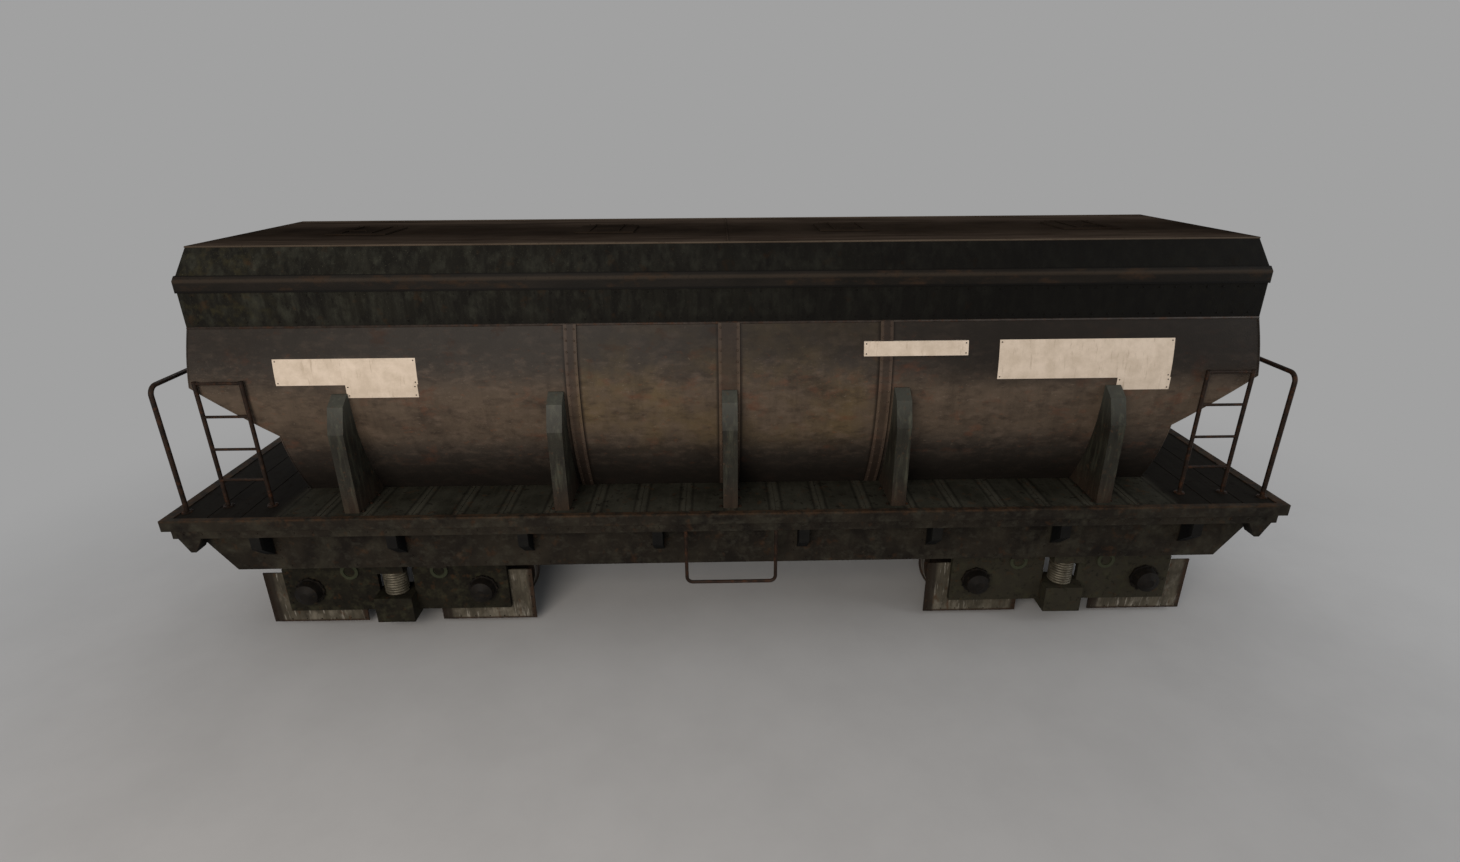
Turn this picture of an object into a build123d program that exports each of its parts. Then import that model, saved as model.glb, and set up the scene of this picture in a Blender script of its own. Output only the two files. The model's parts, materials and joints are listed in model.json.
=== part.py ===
from build123d import *
from math import atan, cos, sqrt, tan
import os

os.makedirs("parts", exist_ok=True)

# A four-axle grain hopper car. X runs along the car, Y across it, Z up.
# The origin is at rail level below mid-car, and z = 0 is the level of the flange tips.
# All sizes are millimetres.

# Running gear
tread_radius = 475.0
flange_height = 28.0
flange_width = 33.0
wheel_back_gap = 1440.0
wheel_width = 130.0
rim_depth = 65.0
web_thickness = 26.0
hub_radius = 135.0
hub_length = 180.0
axle_radius = 80.0
wheel_seat_radius = 97.0
journal_radius = 65.0
journal_end = 1140.0
bogie_wheelbase = 1850.0
pivot_reach = 3594.0
running_gap = 0.1
seat_gap = 0.3
moving_gap = 5.0
cut_overrun = 20.0

axle_height = flange_height + tread_radius
wheel_back = wheel_back_gap / 2
wheel_front = wheel_back + wheel_width
wheel_middle = wheel_back + wheel_width / 2
hub_back = wheel_middle - hub_length / 2
hub_front = wheel_middle + hub_length / 2

# Bogie side frames, seats and guards
frame_back = 1115.0
frame_thickness = 60.0
frame_front = frame_back + frame_thickness
frame_half_length = 1190.0
frame_bottom = 238.0
frame_end_top = 760.0
frame_shoulder_inset = 140.0
frame_shoulder_reach = frame_half_length - frame_shoulder_inset
frame_shoulder_top = 880.0
frame_chord_reach = 620.0
frame_top = 978.0
window_half = 190.0
top_chord_depth = 80.0
window_top = frame_top - top_chord_depth
lower_chord_top = 438.0
box_radius = 135.0
boss_reach = 475.0
boss_height = 725.0
boss_radius = 95.0
boss_bore = 60.0
boss_proud = 14.0
seat_half = 199.0
seat_back = 1010.0
seat_front = 1333.0
seat_bottom = 183.0
seat_top = 478.0
seat_slope = 70.0
guard_half = 515.0
guard_bottom = 58.0
guard_top = 678.0
guard_thickness = 15.0
spring_radius = 125.0
spring_bore = 75.0
spring_turns = 5
spring_groove = 26.0
spring_reach = 1170.0

# Axle boxes
box_clearance = 110.0
box_back = wheel_front + box_clearance
box_floor = 6.0
cap_flange_radius = 156.0
cap_flange_thickness = 26.0
cap_radius = 132.0
cap_nose_radius = 92.0
cap_shoulder = 1290.0
cap_nose_depth = 35.0
cap_front = cap_shoulder + cap_nose_depth
cap_sides = 8

# Bogie bolster and brake gear
bolster_half_width = 160.0
bolster_reach = 1320.0
bolster_top = 888.0
bolster_end_depth = 110.0
bolster_depth = 260.0
bolster_deep_reach = 800.0
bolster_thin_reach = 1000.0
bowl_radius = 190.0
bowl_height = 30.0
bowl_recess = 24.0
centre_plate_radius = 150.0
centre_plate_play = 2.0
shoe_gap = 10.0
shoe_thickness = 50.0
shoe_height = 300.0
beam_height = 470.0
beam_radius = 30.0
hanger_height = 720.0
hanger_radius = 20.0
hanger_width = 24.0

# Underframe
sill_clearance = 225.0
sill_reach = frame_front + sill_clearance
sill_thickness = 12.0
sill_flange = 70.0
deck_end = 5530.0
rim_end_inset = 70.0
rim_end = deck_end - rim_end_inset
end_sill_inset = 30.0
end_sill_front = rim_end - end_sill_inset
end_sill_thickness = 30.0
end_sill_back = end_sill_front - end_sill_thickness
sill_bottom = 908.0
sill_slant_inset = 20.0
sill_slant_half = end_sill_front - sill_slant_inset
sill_slant_run = 350.0
sill_bottom_half = sill_slant_half - sill_slant_run
sill_slant_top = 1388.0
sill_top_half = end_sill_front
deck_bottom = 1563.0
deck_thickness = 20.0
rim_stand = 15.0
rim_top = deck_bottom + deck_thickness + rim_stand
rim_lip_depth = 114.0
rim_lip_bottom = rim_top - rim_lip_depth
rim_fall = 210.0
rim_bottom = rim_top - rim_fall
rim_overhang = 200.0
rim_reach = sill_reach + rim_overhang
rim_lip_proud = 30.0
rim_lip_reach = rim_reach + rim_lip_proud
rim_lip_width = 60.0
rim_sheet = 12.0
end_lip_width = 100.0
outrigger_places = (730.0, 2060.0, 3350.0, 4680.0)
outrigger_width = 100.0
outrigger_tip = 1248.0
outrigger_root = 1078.0
corner_gusset_outer = sill_slant_half
corner_gusset_width = 220.0
corner_gusset_inner = corner_gusset_outer - corner_gusset_width
corner_gusset_tip = 1233.0
corner_gusset_flat = 50.0
corner_gusset_depth = 150.0
jack_pad_place = 3040.0
jack_pad_length = 200.0
jack_pad_height = 20.0
jack_pad_depth = 120.0
body_bolster_half = 150.0
body_bolster_bottom = 958.0
body_bolster_end_bottom = 1150.0
body_bolster_flat = 500.0
centre_sill_half = 175.0
centre_sill_top = 1388.0
centre_sill_wall = 14.0
draft_pocket_length = 220.0
draft_stop_place = end_sill_back - draft_pocket_length
draft_stop_thickness = 20.0
cross_bearer_margin = 250.0
cross_bearer_half = 60.0
cross_bearer_bottom = 1030.0
end_sill_corner = 1240.0
end_sill_bottom = 938.0
end_sill_flat = 320.0
coupler_height = 1088.0
coupler_hole_half = 130.0
coupler_shank_half = 75.0
coupler_shank_drop = 90.0
coupler_plane = 6010.0
coupler_head_back = 5700.0
coupler_head_half = 190.0
coupler_head_drop = 150.0
coupler_pocket = 110.0
coupler_tooth = 85.0

# Body shell
sheet = 10.0
belly_inset = 338.0
belly_half = rim_reach - belly_inset
belly_height = 2748.0
belly_radius = 2050.0
belly_rise = 636.0
hood_bottom = belly_height + belly_rise
hood_rise = 434.0
waist_height = hood_bottom + hood_rise
roof_rise = 290.0
roof_top = waist_height + roof_rise
roof_side_inset = 212.0
roof_half_width = belly_half - roof_side_inset
body_end = 5070.0
roof_end_inset = 110.0
roof_half_length = body_end - roof_end_inset
knee_proud = 60.0
knee_reach = body_end + knee_proud
end_drop = 556.0
slope_top = hood_bottom - end_drop
slope_drop = 520.0
slope_bottom = slope_top - slope_drop
slope_run = 710.0
body_foot = knee_reach - slope_run
strap_proud = 15.0
strap_places = ((-1500.0, 120.0), (0.0, 205.0), (1500.0, 120.0))
waist_proud = 12.0
waist_below = 110.0
waist_above = 45.0
waist_return = 60.0

# Saddles, ladders, hoops and steps
outer_saddle_offset = 132.0
outer_saddle = pivot_reach + outer_saddle_offset
inner_saddle = 1667.0
saddle_places = (-outer_saddle, -inner_saddle, 0.0, inner_saddle, outer_saddle)
saddle_width = 143.0
saddle_inset = 100.0
saddle_reach = rim_reach - saddle_inset
saddle_peak = 85.0
saddle_brow = belly_height - saddle_peak
saddle_head = 247.0
saddle_shoulder = saddle_brow - saddle_head
saddle_lean = 96.0
saddle_edge = 18.0
saddle_corner = 46.0
ladder_end_inset = 20.0
ladder_outer = body_end - ladder_end_inset
ladder_width = 440.0
ladder_inner = ladder_outer - ladder_width
ladder_inset = 300.0
ladder_reach = rim_reach - ladder_inset
ladder_top = 2878.0
ladder_rung_shares = (0.228, 0.481, 0.742)
ladder_stile_radius = 20.0
ladder_rung_radius = 14.0
hoop_end_inset = 76.0
hoop_place = rim_end - hoop_end_inset
hoop_inset = 180.0
hoop_reach = rim_reach - hoop_inset
hoop_top = 2888.0
hoop_radius = 22.5
hoop_bend = 90.0
stirrup_half = 450.0
stirrup_bottom = 788.0
stirrup_inset = 25.0
stirrup_reach = rim_reach - stirrup_inset
stirrup_radius = 18.0
stirrup_bend = 60.0

# Hopper bottom
trough_bottom = 1158.0
funnel_inner = cross_bearer_half
funnel_clearance = 1494.0
funnel_outer = pivot_reach - funnel_clearance
outlet_length = 800.0
outlet_half = 400.0
outlet_height = 448.0
outlet_frame_depth = 20.0
rail_wall = 20.0
rail_lip = 20.0
rail_depth = 48.0
rail_spare = 10.0
gate_thickness = 12.0
gate_travel = 800.0
gate_handle_height = 60.0
gate_handle_thickness = 16.0
reservoir_radius = 150.0
reservoir_half_length = 500.0
reservoir_height = 640.0
reservoir_strap_width = 50.0
reservoir_strap_place = 320.0
reservoir_strap_thickness = 8.0

# Hatches
hatch_places = (-3750.0, -1250.0, 1250.0, 3750.0)
hatch_half = 250.0
coaming_width = 20.0
coaming_height = 8.0
lid_half = 300.0
lid_thickness = 8.0
lid_skirt = 6.0
hinge_reach = 325.0
hinge_rise = 14.0
hinge_pin_radius = 6.0
hinge_eye_radius = 12.0
hinge_eye_place = 150.0
hinge_eye_width = 60.0
hinge_lug_place = 234.0
hinge_lug_width = 12.0

bogies = (("front", 1), ("rear", -1))
deck_top = deck_bottom + deck_thickness


def belly_reach(height, proud):
    """Half width of the curved body side at a height, with a layer standing proud of it."""
    radius = belly_radius + proud
    return belly_half - belly_radius + sqrt(radius**2 - (height - belly_height) ** 2)


foot_reach = belly_reach(deck_top, 0)
foot_inner = belly_reach(deck_top, -sheet)
hood_half = belly_reach(hood_bottom, 0)
slope_rate = (slope_top - slope_bottom) / (knee_reach - body_foot)
slope_angle = atan(slope_rate)
end_lean = (knee_reach - body_end) / (hood_bottom - slope_top)


def end_profile(inset):
    """Points (x, z) down one end of the body, from the hood to the deck, set in by a thickness."""
    rise = inset / cos(slope_angle)
    shift = inset / cos(atan(end_lean))
    lower_x = body_foot - inset
    lower_z = slope_bottom + (lower_x - body_foot) * slope_rate + rise
    knee_gain = (knee_reach - shift - body_foot + end_lean * slope_top) * slope_rate
    knee_z = (slope_bottom + rise + knee_gain) / (1 + end_lean * slope_rate)
    knee_x = knee_reach - shift - end_lean * (knee_z - slope_top)
    return [(body_end - shift, hood_bottom), (knee_x, knee_z), (lower_x, lower_z), (lower_x, deck_top)]


def hood_profile(half, roof_half, inset):
    """Points (across, z) up one side of the hood, set in by a thickness."""
    lean = atan((half - roof_half) / (roof_top - waist_height))
    waist_z = waist_height + inset * (1 - 1 / cos(lean)) / tan(lean)
    return [
        (half - inset, hood_bottom),
        (half - inset, waist_z),
        (roof_half - inset / cos(lean), roof_top),
    ]


def closed_across(points):
    """The same points followed by their mirror images, as one closed outline."""
    return points + [(-x, z) for x, z in reversed(points)]


# Wheelsets: name, side of mid-car, side of the bogie pivot
wheelsets = (("1", 1, 1), ("2", 1, -1), ("3", -1, 1), ("4", -1, -1))
for name, car_side, bogie_side in wheelsets:
    axle_x = car_side * pivot_reach + bogie_side * bogie_wheelbase / 2
    axle_plane = Plane(origin=(axle_x, 0, axle_height))
    axle_line = Axis((axle_x, 0, axle_height), (0, 1, 0))

    with BuildPart() as axle:
        with BuildSketch(axle_plane):
            with BuildLine():
                Polyline(
                    (0, 0),
                    (axle_radius, 0),
                    (axle_radius, hub_back),
                    (wheel_seat_radius, hub_back),
                    (wheel_seat_radius, hub_front),
                    (journal_radius, hub_front),
                    (journal_radius, journal_end),
                    (0, journal_end),
                    close=True,
                )
            make_face()
        revolve(axis=axle_line)
        mirror(about=Plane.XZ)
    axle.part.label = f"axle_{name}"
    export_step(axle.part, f"parts/axle_{name}.step")

    rim_radius = tread_radius - rim_depth
    web_back = wheel_middle - web_thickness / 2
    web_front = wheel_middle + web_thickness / 2
    flange_radius = tread_radius + flange_height
    with BuildPart() as wheels:
        with BuildSketch(axle_plane):
            with BuildLine():
                Polyline(
                    (wheel_seat_radius, hub_back),
                    (hub_radius, hub_back),
                    (hub_radius, web_back),
                    (rim_radius, web_back),
                    (rim_radius, wheel_back),
                    (flange_radius - flange_height / 2, wheel_back),
                    (flange_radius, wheel_back + flange_width / 3),
                    (flange_radius - flange_height / 3, wheel_back + flange_width * 2 / 3),
                    (tread_radius, wheel_back + flange_width),
                    (tread_radius, wheel_front),
                    (rim_radius, wheel_front),
                    (rim_radius, web_front),
                    (hub_radius, web_front),
                    (hub_radius, hub_front),
                    (wheel_seat_radius, hub_front),
                    close=True,
                )
            make_face()
        revolve(axis=axle_line)
        mirror(about=Plane.XZ)
    wheels.part.label = f"wheels_{name}"
    export_step(wheels.part, f"parts/wheels_{name}.step")

for name, side in bogies:
    pivot_x = side * pivot_reach
    axle_offsets = (-bogie_wheelbase / 2, bogie_wheelbase / 2)
    pivot_plane = Plane(origin=(pivot_x, 0, 0))

    # Cast side frame with its spring seat, window and axle-box holes
    frame_plane = Plane(origin=(pivot_x, frame_front, 0), x_dir=(1, 0, 0), z_dir=(0, -1, 0))
    with BuildPart() as side_frames:
        with BuildSketch(frame_plane):
            with BuildLine():
                Polyline(
                    (-frame_half_length, frame_bottom),
                    (frame_half_length, frame_bottom),
                    (frame_half_length, frame_end_top),
                    (frame_shoulder_reach, frame_shoulder_top),
                    (frame_chord_reach, frame_top),
                    (-frame_chord_reach, frame_top),
                    (-frame_shoulder_reach, frame_shoulder_top),
                    (-frame_half_length, frame_end_top),
                    close=True,
                )
            make_face()
            with Locations((0, (window_top + lower_chord_top) / 2)):
                Rectangle(2 * window_half, window_top - lower_chord_top, mode=Mode.SUBTRACT)
            with Locations(*[(x, axle_height) for x in axle_offsets]):
                Circle(box_radius + seat_gap, mode=Mode.SUBTRACT)
        extrude(amount=frame_front - frame_back)
        with BuildSketch(frame_plane):
            with Locations((-boss_reach, boss_height), (boss_reach, boss_height)):
                Circle(boss_radius)
                Circle(boss_bore, mode=Mode.SUBTRACT)
        extrude(amount=-boss_proud)
        with BuildSketch(Plane.YZ.offset(pivot_x - seat_half)):
            with BuildLine():
                Polyline(
                    (seat_back, seat_bottom + seat_slope),
                    (seat_back, seat_top),
                    (seat_front, seat_top),
                    (seat_front, seat_bottom),
                    (frame_back, seat_bottom),
                    close=True,
                )
            make_face()
        extrude(amount=2 * seat_half)
        mirror(about=Plane.XZ)
    side_frames.part.label = f"side_frames_{name}"
    export_step(side_frames.part, f"parts/side_frames_{name}.step")

    guard_plane = Plane(origin=(pivot_x, frame_back, 0), x_dir=(1, 0, 0), z_dir=(0, -1, 0))
    guard_height = guard_top - guard_bottom
    with BuildPart() as guards:
        with BuildSketch(guard_plane):
            with Locations(*[(x, guard_bottom + guard_height / 2) for x in axle_offsets]):
                Rectangle(2 * guard_half, guard_height)
            with Locations(*[(x, axle_height) for x in axle_offsets]):
                Circle(box_radius + moving_gap, mode=Mode.SUBTRACT)
        extrude(amount=guard_thickness)
        mirror(about=Plane.XZ)
    guards.part.label = f"wheel_guards_{name}"
    export_step(guards.part, f"parts/wheel_guards_{name}.step")

    # Axle boxes: a round housing through the frame under an eight-sided cap
    with BuildPart() as axle_boxes:
        for offset_x in axle_offsets:
            box_x = pivot_x + offset_x
            with BuildSketch(Plane(origin=(box_x, 0, axle_height))):
                with BuildLine():
                    Polyline(
                        (journal_radius + running_gap, box_back),
                        (box_radius, box_back),
                        (box_radius, frame_front + cap_flange_thickness),
                        (cap_radius, frame_front + cap_flange_thickness),
                        (cap_nose_radius + cap_flange_thickness, cap_shoulder),
                        (cap_nose_radius / 2, cap_front),
                        (0, cap_front),
                        (0, journal_end + box_floor),
                        (journal_radius + running_gap, journal_end + box_floor),
                        close=True,
                    )
                make_face()
            revolve(axis=Axis((box_x, 0, axle_height), (0, 1, 0)))
            flange_plane = Plane(origin=(box_x, frame_front, axle_height), x_dir=(1, 0, 0), z_dir=(0, 1, 0))
            with BuildSketch(flange_plane):
                RegularPolygon(cap_flange_radius, cap_sides)
                Circle(box_radius - seat_gap, mode=Mode.SUBTRACT)
            extrude(amount=cap_flange_thickness)
        mirror(about=Plane.XZ)
    axle_boxes.part.label = f"axle_boxes_{name}"
    export_step(axle_boxes.part, f"parts/axle_boxes_{name}.step")

    # Springs: coils drawn as close turns of a ribbed tube
    spring_base = seat_top
    spring_top = bolster_top - bolster_end_depth
    turn = (spring_top - spring_base) / spring_turns
    spring_line = [(spring_bore, spring_base)]
    for step in range(spring_turns):
        spring_line.append((spring_radius - spring_groove, spring_base + turn * step))
        spring_line.append((spring_radius, spring_base + turn * step + turn / 2))
    spring_line.append((spring_radius - spring_groove, spring_top))
    spring_line.append((spring_bore, spring_top))
    with BuildPart() as springs:
        with BuildSketch(Plane(origin=(pivot_x, spring_reach, 0), x_dir=(1, 0, 0), z_dir=(0, -1, 0))):
            with BuildLine():
                Polyline(*spring_line, close=True)
            make_face()
        revolve(axis=Axis((pivot_x, spring_reach, 0), (0, 0, 1)))
        mirror(about=Plane.XZ)
    springs.part.label = f"springs_{name}"
    export_step(springs.part, f"parts/springs_{name}.step")

    with BuildPart() as bolster:
        with BuildSketch(Plane.YZ.offset(pivot_x - bolster_half_width)):
            with BuildLine():
                Polyline(
                    *closed_across(
                        [
                            (bolster_deep_reach, bolster_top - bolster_depth),
                            (bolster_thin_reach, bolster_top - bolster_end_depth),
                            (bolster_reach, bolster_top - bolster_end_depth),
                            (bolster_reach, bolster_top),
                        ]
                    ),
                    close=True,
                )
            make_face()
        extrude(amount=2 * bolster_half_width)
        with BuildSketch(pivot_plane.offset(bolster_top)):
            Circle(bowl_radius)
        extrude(amount=bowl_height)
        with BuildSketch(pivot_plane.offset(bolster_top + bowl_height - bowl_recess)):
            Circle(centre_plate_radius + centre_plate_play)
        extrude(amount=bowl_recess, mode=Mode.SUBTRACT)
    bolster.part.label = f"bogie_bolster_{name}"
    export_step(bolster.part, f"parts/bogie_bolster_{name}.step")

    # Brake beams: a beam with two shoes, hung from a bar between the side frames
    shoe_face = tread_radius + shoe_gap
    shoe_inner = wheel_back + flange_width + moving_gap
    shoe_middle = (shoe_inner + wheel_front) / 2
    beam_from_axle = shoe_face + shoe_thickness + beam_radius / 2
    with BuildPart() as brakes:
        for bogie_side in (-1, 1):
            axle_x = pivot_x + bogie_side * bogie_wheelbase / 2
            beam_x = axle_x - bogie_side * beam_from_axle
            beam_plane = Plane(origin=(beam_x, 0, 0), x_dir=(1, 0, 0), z_dir=(0, -1, 0))
            with BuildSketch(beam_plane):
                with Locations((0, beam_height)):
                    Circle(beam_radius)
            extrude(amount=wheel_front, both=True)
            with BuildSketch(beam_plane):
                with Locations((0, hanger_height)):
                    Circle(hanger_radius)
            extrude(amount=frame_back, both=True)
            for across in (-shoe_middle, shoe_middle):
                shoe_plane = Plane(origin=(axle_x, across, 0), x_dir=(1, 0, 0), z_dir=(0, -1, 0))
                with BuildSketch(shoe_plane):
                    with Locations((0, axle_height)):
                        Circle(shoe_face + shoe_thickness)
                        Circle(shoe_face, mode=Mode.SUBTRACT)
                    with Locations((-bogie_side * tread_radius, beam_height)):
                        Rectangle(tread_radius, shoe_height, mode=Mode.INTERSECT)
                extrude(amount=(wheel_front - shoe_inner) / 2, both=True)
                with BuildSketch(Plane(origin=(beam_x, across, 0), x_dir=(1, 0, 0), z_dir=(0, -1, 0))):
                    with Locations((0, (beam_height + hanger_height) / 2)):
                        Rectangle(hanger_width, hanger_height - beam_height)
                extrude(amount=hanger_width / 2, both=True)
    brakes.part.label = f"brake_beams_{name}"
    export_step(brakes.part, f"parts/brake_beams_{name}.step")

# Side sills: a channel with slanted ends, outriggers and jacking pads
sill_inner = sill_reach - sill_thickness
with BuildPart() as side_sills:
    with BuildSketch(Plane.XZ.offset(-sill_reach)):
        with BuildLine():
            Polyline(
                *closed_across(
                    [
                        (sill_bottom_half, sill_bottom),
                        (sill_slant_half, sill_slant_top),
                        (sill_top_half, deck_bottom),
                    ]
                ),
                close=True,
            )
        make_face()
    extrude(amount=sill_thickness)
    with BuildSketch(Plane.XY.offset(sill_bottom)):
        with Locations((0, sill_inner - sill_flange / 2)):
            Rectangle(2 * sill_bottom_half, sill_flange)
    extrude(amount=sill_thickness)
    with BuildSketch(Plane.XY.offset(deck_bottom - sill_thickness)):
        with Locations((0, sill_inner - sill_flange / 2)):
            Rectangle(2 * sill_slant_half, sill_flange)
    extrude(amount=sill_thickness)
    for place in outrigger_places:
        for side in (-1, 1):
            with BuildSketch(Plane.YZ.offset(side * place - outrigger_width / 2)):
                with BuildLine():
                    Polyline(
                        (sill_reach, rim_bottom),
                        (rim_reach, rim_bottom),
                        (rim_reach, outrigger_tip),
                        (sill_reach, outrigger_root),
                        close=True,
                    )
                make_face()
            extrude(amount=outrigger_width)
    with BuildSketch(Plane.XY.offset(sill_bottom)):
        with Locations(
            (-jack_pad_place, sill_reach - jack_pad_depth / 2),
            (jack_pad_place, sill_reach - jack_pad_depth / 2),
        ):
            Rectangle(jack_pad_length, jack_pad_depth)
    extrude(amount=-jack_pad_height)
    mirror(about=Plane.XZ)
side_sills.part.label = "side_sills"
export_step(side_sills.part, "parts/side_sills.step")

# Deck rims: a lip over a set-back fascia, with pointed gussets under the corners
lip_inner = rim_lip_reach - rim_lip_width
end_lip_inner = deck_end - end_lip_width
with BuildPart() as side_rims:
    with BuildSketch(Plane.YZ.offset(-end_lip_inner)):
        with BuildLine():
            Polyline(
                (sill_reach, rim_bottom),
                (rim_reach, rim_bottom),
                (rim_reach, rim_lip_bottom),
                (rim_lip_reach, rim_lip_bottom),
                (rim_lip_reach, rim_top),
                (lip_inner, rim_top),
                (lip_inner, rim_lip_bottom + rim_sheet),
                (rim_reach - rim_sheet, rim_lip_bottom + rim_sheet),
                (rim_reach - rim_sheet, rim_bottom + rim_sheet),
                (sill_reach, rim_bottom + rim_sheet),
                close=True,
            )
        make_face()
    extrude(amount=2 * end_lip_inner)
    gusset_middle = (corner_gusset_inner + corner_gusset_outer) / 2
    for side in (-1, 1):
        with BuildSketch(Plane.XZ.offset(-rim_reach)):
            with BuildLine():
                Polyline(
                    (side * corner_gusset_inner, rim_bottom),
                    (side * corner_gusset_outer, rim_bottom),
                    (side * (gusset_middle + corner_gusset_flat / 2), corner_gusset_tip),
                    (side * (gusset_middle - corner_gusset_flat / 2), corner_gusset_tip),
                    close=True,
                )
            make_face()
        extrude(amount=corner_gusset_depth)
    mirror(about=Plane.XZ)
side_rims.part.label = "side_rims"
export_step(side_rims.part, "parts/side_rims.step")

with BuildPart() as end_rims:
    with BuildSketch(Plane.XY.offset(rim_lip_bottom)):
        with Locations((deck_end - end_lip_width / 2, 0)):
            Rectangle(end_lip_width, 2 * rim_lip_reach)
    extrude(amount=rim_top - rim_lip_bottom)
    with BuildSketch(Plane.XY.offset(rim_bottom)):
        with Locations(((end_lip_inner + rim_end) / 2, 0)):
            Rectangle(rim_end - end_lip_inner, 2 * rim_reach)
    extrude(amount=rim_lip_bottom - rim_bottom)
    mirror(about=Plane.YZ)
end_rims.part.label = "end_rims"
export_step(end_rims.part, "parts/end_rims.step")

with BuildPart() as deck_sides:
    with BuildSketch(Plane.XY.offset(deck_bottom)):
        with Locations((0, (foot_inner + lip_inner) / 2)):
            Rectangle(2 * end_lip_inner, lip_inner - foot_inner)
    extrude(amount=deck_thickness)
    mirror(about=Plane.XZ)
deck_sides.part.label = "deck_sides"
export_step(deck_sides.part, "parts/deck_sides.step")

with BuildPart() as deck_ends:
    with BuildSketch(Plane.XY.offset(deck_bottom)):
        with Locations(((body_foot - sheet + end_lip_inner) / 2, 0)):
            Rectangle(end_lip_inner - body_foot + sheet, 2 * foot_inner)
    extrude(amount=deck_thickness)
    mirror(about=Plane.YZ)
deck_ends.part.label = "deck_ends"
export_step(deck_ends.part, "parts/deck_ends.step")

# Body bolsters with their centre plates
with BuildPart() as body_bolsters:
    with BuildSketch(Plane.YZ.offset(pivot_reach - body_bolster_half)):
        with BuildLine():
            Polyline(
                *closed_across(
                    [
                        (body_bolster_flat, body_bolster_bottom),
                        (sill_inner - sill_flange, body_bolster_end_bottom),
                        (sill_inner, body_bolster_end_bottom),
                        (sill_inner, deck_bottom - sill_thickness),
                        (sill_inner - sill_flange, deck_bottom - sill_thickness),
                        (sill_inner - sill_flange, deck_bottom),
                    ]
                ),
                close=True,
            )
        make_face()
    extrude(amount=2 * body_bolster_half)
    plate_bottom = bolster_top + bowl_height - bowl_recess + seat_gap
    with BuildSketch(Plane(origin=(pivot_reach, 0, plate_bottom))):
        Circle(centre_plate_radius)
    extrude(amount=body_bolster_bottom - plate_bottom)
    mirror(about=Plane.YZ)
body_bolsters.part.label = "body_bolsters"
export_step(body_bolsters.part, "parts/body_bolsters.step")

# Stub centre sills, open below, with a stop for the coupler shank
centre_sill_start = pivot_reach + body_bolster_half
centre_sill_inner = centre_sill_half - centre_sill_wall
with BuildPart() as centre_sills:
    with BuildSketch(Plane.YZ.offset(centre_sill_start)):
        with BuildLine():
            Polyline(
                *closed_across(
                    [
                        (centre_sill_inner, centre_sill_top - centre_sill_wall),
                        (centre_sill_inner, body_bolster_bottom),
                        (centre_sill_half, body_bolster_bottom),
                        (centre_sill_half, centre_sill_top),
                    ]
                ),
                close=True,
            )
        make_face()
    extrude(amount=end_sill_back - centre_sill_start)
    with BuildSketch(Plane.YZ.offset(draft_stop_place)):
        with Locations((0, (body_bolster_bottom + centre_sill_top) / 2)):
            Rectangle(2 * centre_sill_half, centre_sill_top - body_bolster_bottom)
    extrude(amount=-draft_stop_thickness)
    mirror(about=Plane.YZ)
centre_sills.part.label = "centre_sills"
export_step(centre_sills.part, "parts/centre_sills.step")

cross_bearer_outer = funnel_outer + cross_bearer_margin
with BuildPart() as cross_bearers:
    for place in (-cross_bearer_outer, 0, cross_bearer_outer):
        with BuildSketch(Plane.XY.offset(cross_bearer_bottom)):
            with Locations((place, 0)):
                Rectangle(2 * cross_bearer_half, 2 * sill_inner)
        extrude(amount=trough_bottom - cross_bearer_bottom)
cross_bearers.part.label = "cross_bearers"
export_step(cross_bearers.part, "parts/cross_bearers.step")

with BuildPart() as end_sills:
    with BuildSketch(Plane.YZ.offset(end_sill_back)):
        with BuildLine():
            Polyline(
                *closed_across(
                    [
                        (end_sill_flat, end_sill_bottom),
                        (sill_inner, end_sill_corner),
                        (sill_inner, rim_bottom),
                    ]
                ),
                close=True,
            )
        make_face()
        with Locations((0, coupler_height)):
            Rectangle(2 * coupler_hole_half, 2 * coupler_hole_half, mode=Mode.SUBTRACT)
    extrude(amount=end_sill_front - end_sill_back)
    with BuildSketch(Plane.YZ.offset(end_sill_back)):
        with Locations((0, (rim_bottom + deck_bottom) / 2)):
            Rectangle(2 * (sill_inner - sill_flange), deck_bottom - rim_bottom)
    extrude(amount=end_sill_front - end_sill_back)
    mirror(about=Plane.YZ)
end_sills.part.label = "end_sills"
export_step(end_sills.part, "parts/end_sills.step")

# Couplers: a shank and an open-jawed head
with BuildPart() as couplers:
    with BuildSketch(Plane.YZ.offset(draft_stop_place)):
        with Locations((0, coupler_height)):
            Rectangle(2 * coupler_shank_half, 2 * coupler_shank_drop)
    extrude(amount=coupler_head_back - draft_stop_place)
    with BuildSketch(Plane.XY.offset(coupler_height - coupler_head_drop)):
        with BuildLine():
            Polyline(
                (coupler_head_back, -coupler_shank_half),
                (coupler_head_back, coupler_shank_half),
                (coupler_plane - coupler_pocket, coupler_head_half),
                (coupler_plane + coupler_tooth, coupler_head_half),
                (coupler_plane + coupler_tooth, coupler_head_half - coupler_tooth),
                (coupler_plane, coupler_tooth),
                (coupler_plane - coupler_pocket, coupler_tooth / 2),
                (coupler_plane - coupler_pocket, -coupler_tooth),
                (coupler_plane, -coupler_tooth),
                (coupler_plane, -coupler_head_half),
                (coupler_plane - coupler_pocket, -coupler_head_half),
                close=True,
            )
        make_face()
    extrude(amount=2 * coupler_head_drop)
    mirror(about=Plane.YZ)
couplers.part.label = "couplers"
export_step(couplers.part, "parts/couplers.step")

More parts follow.
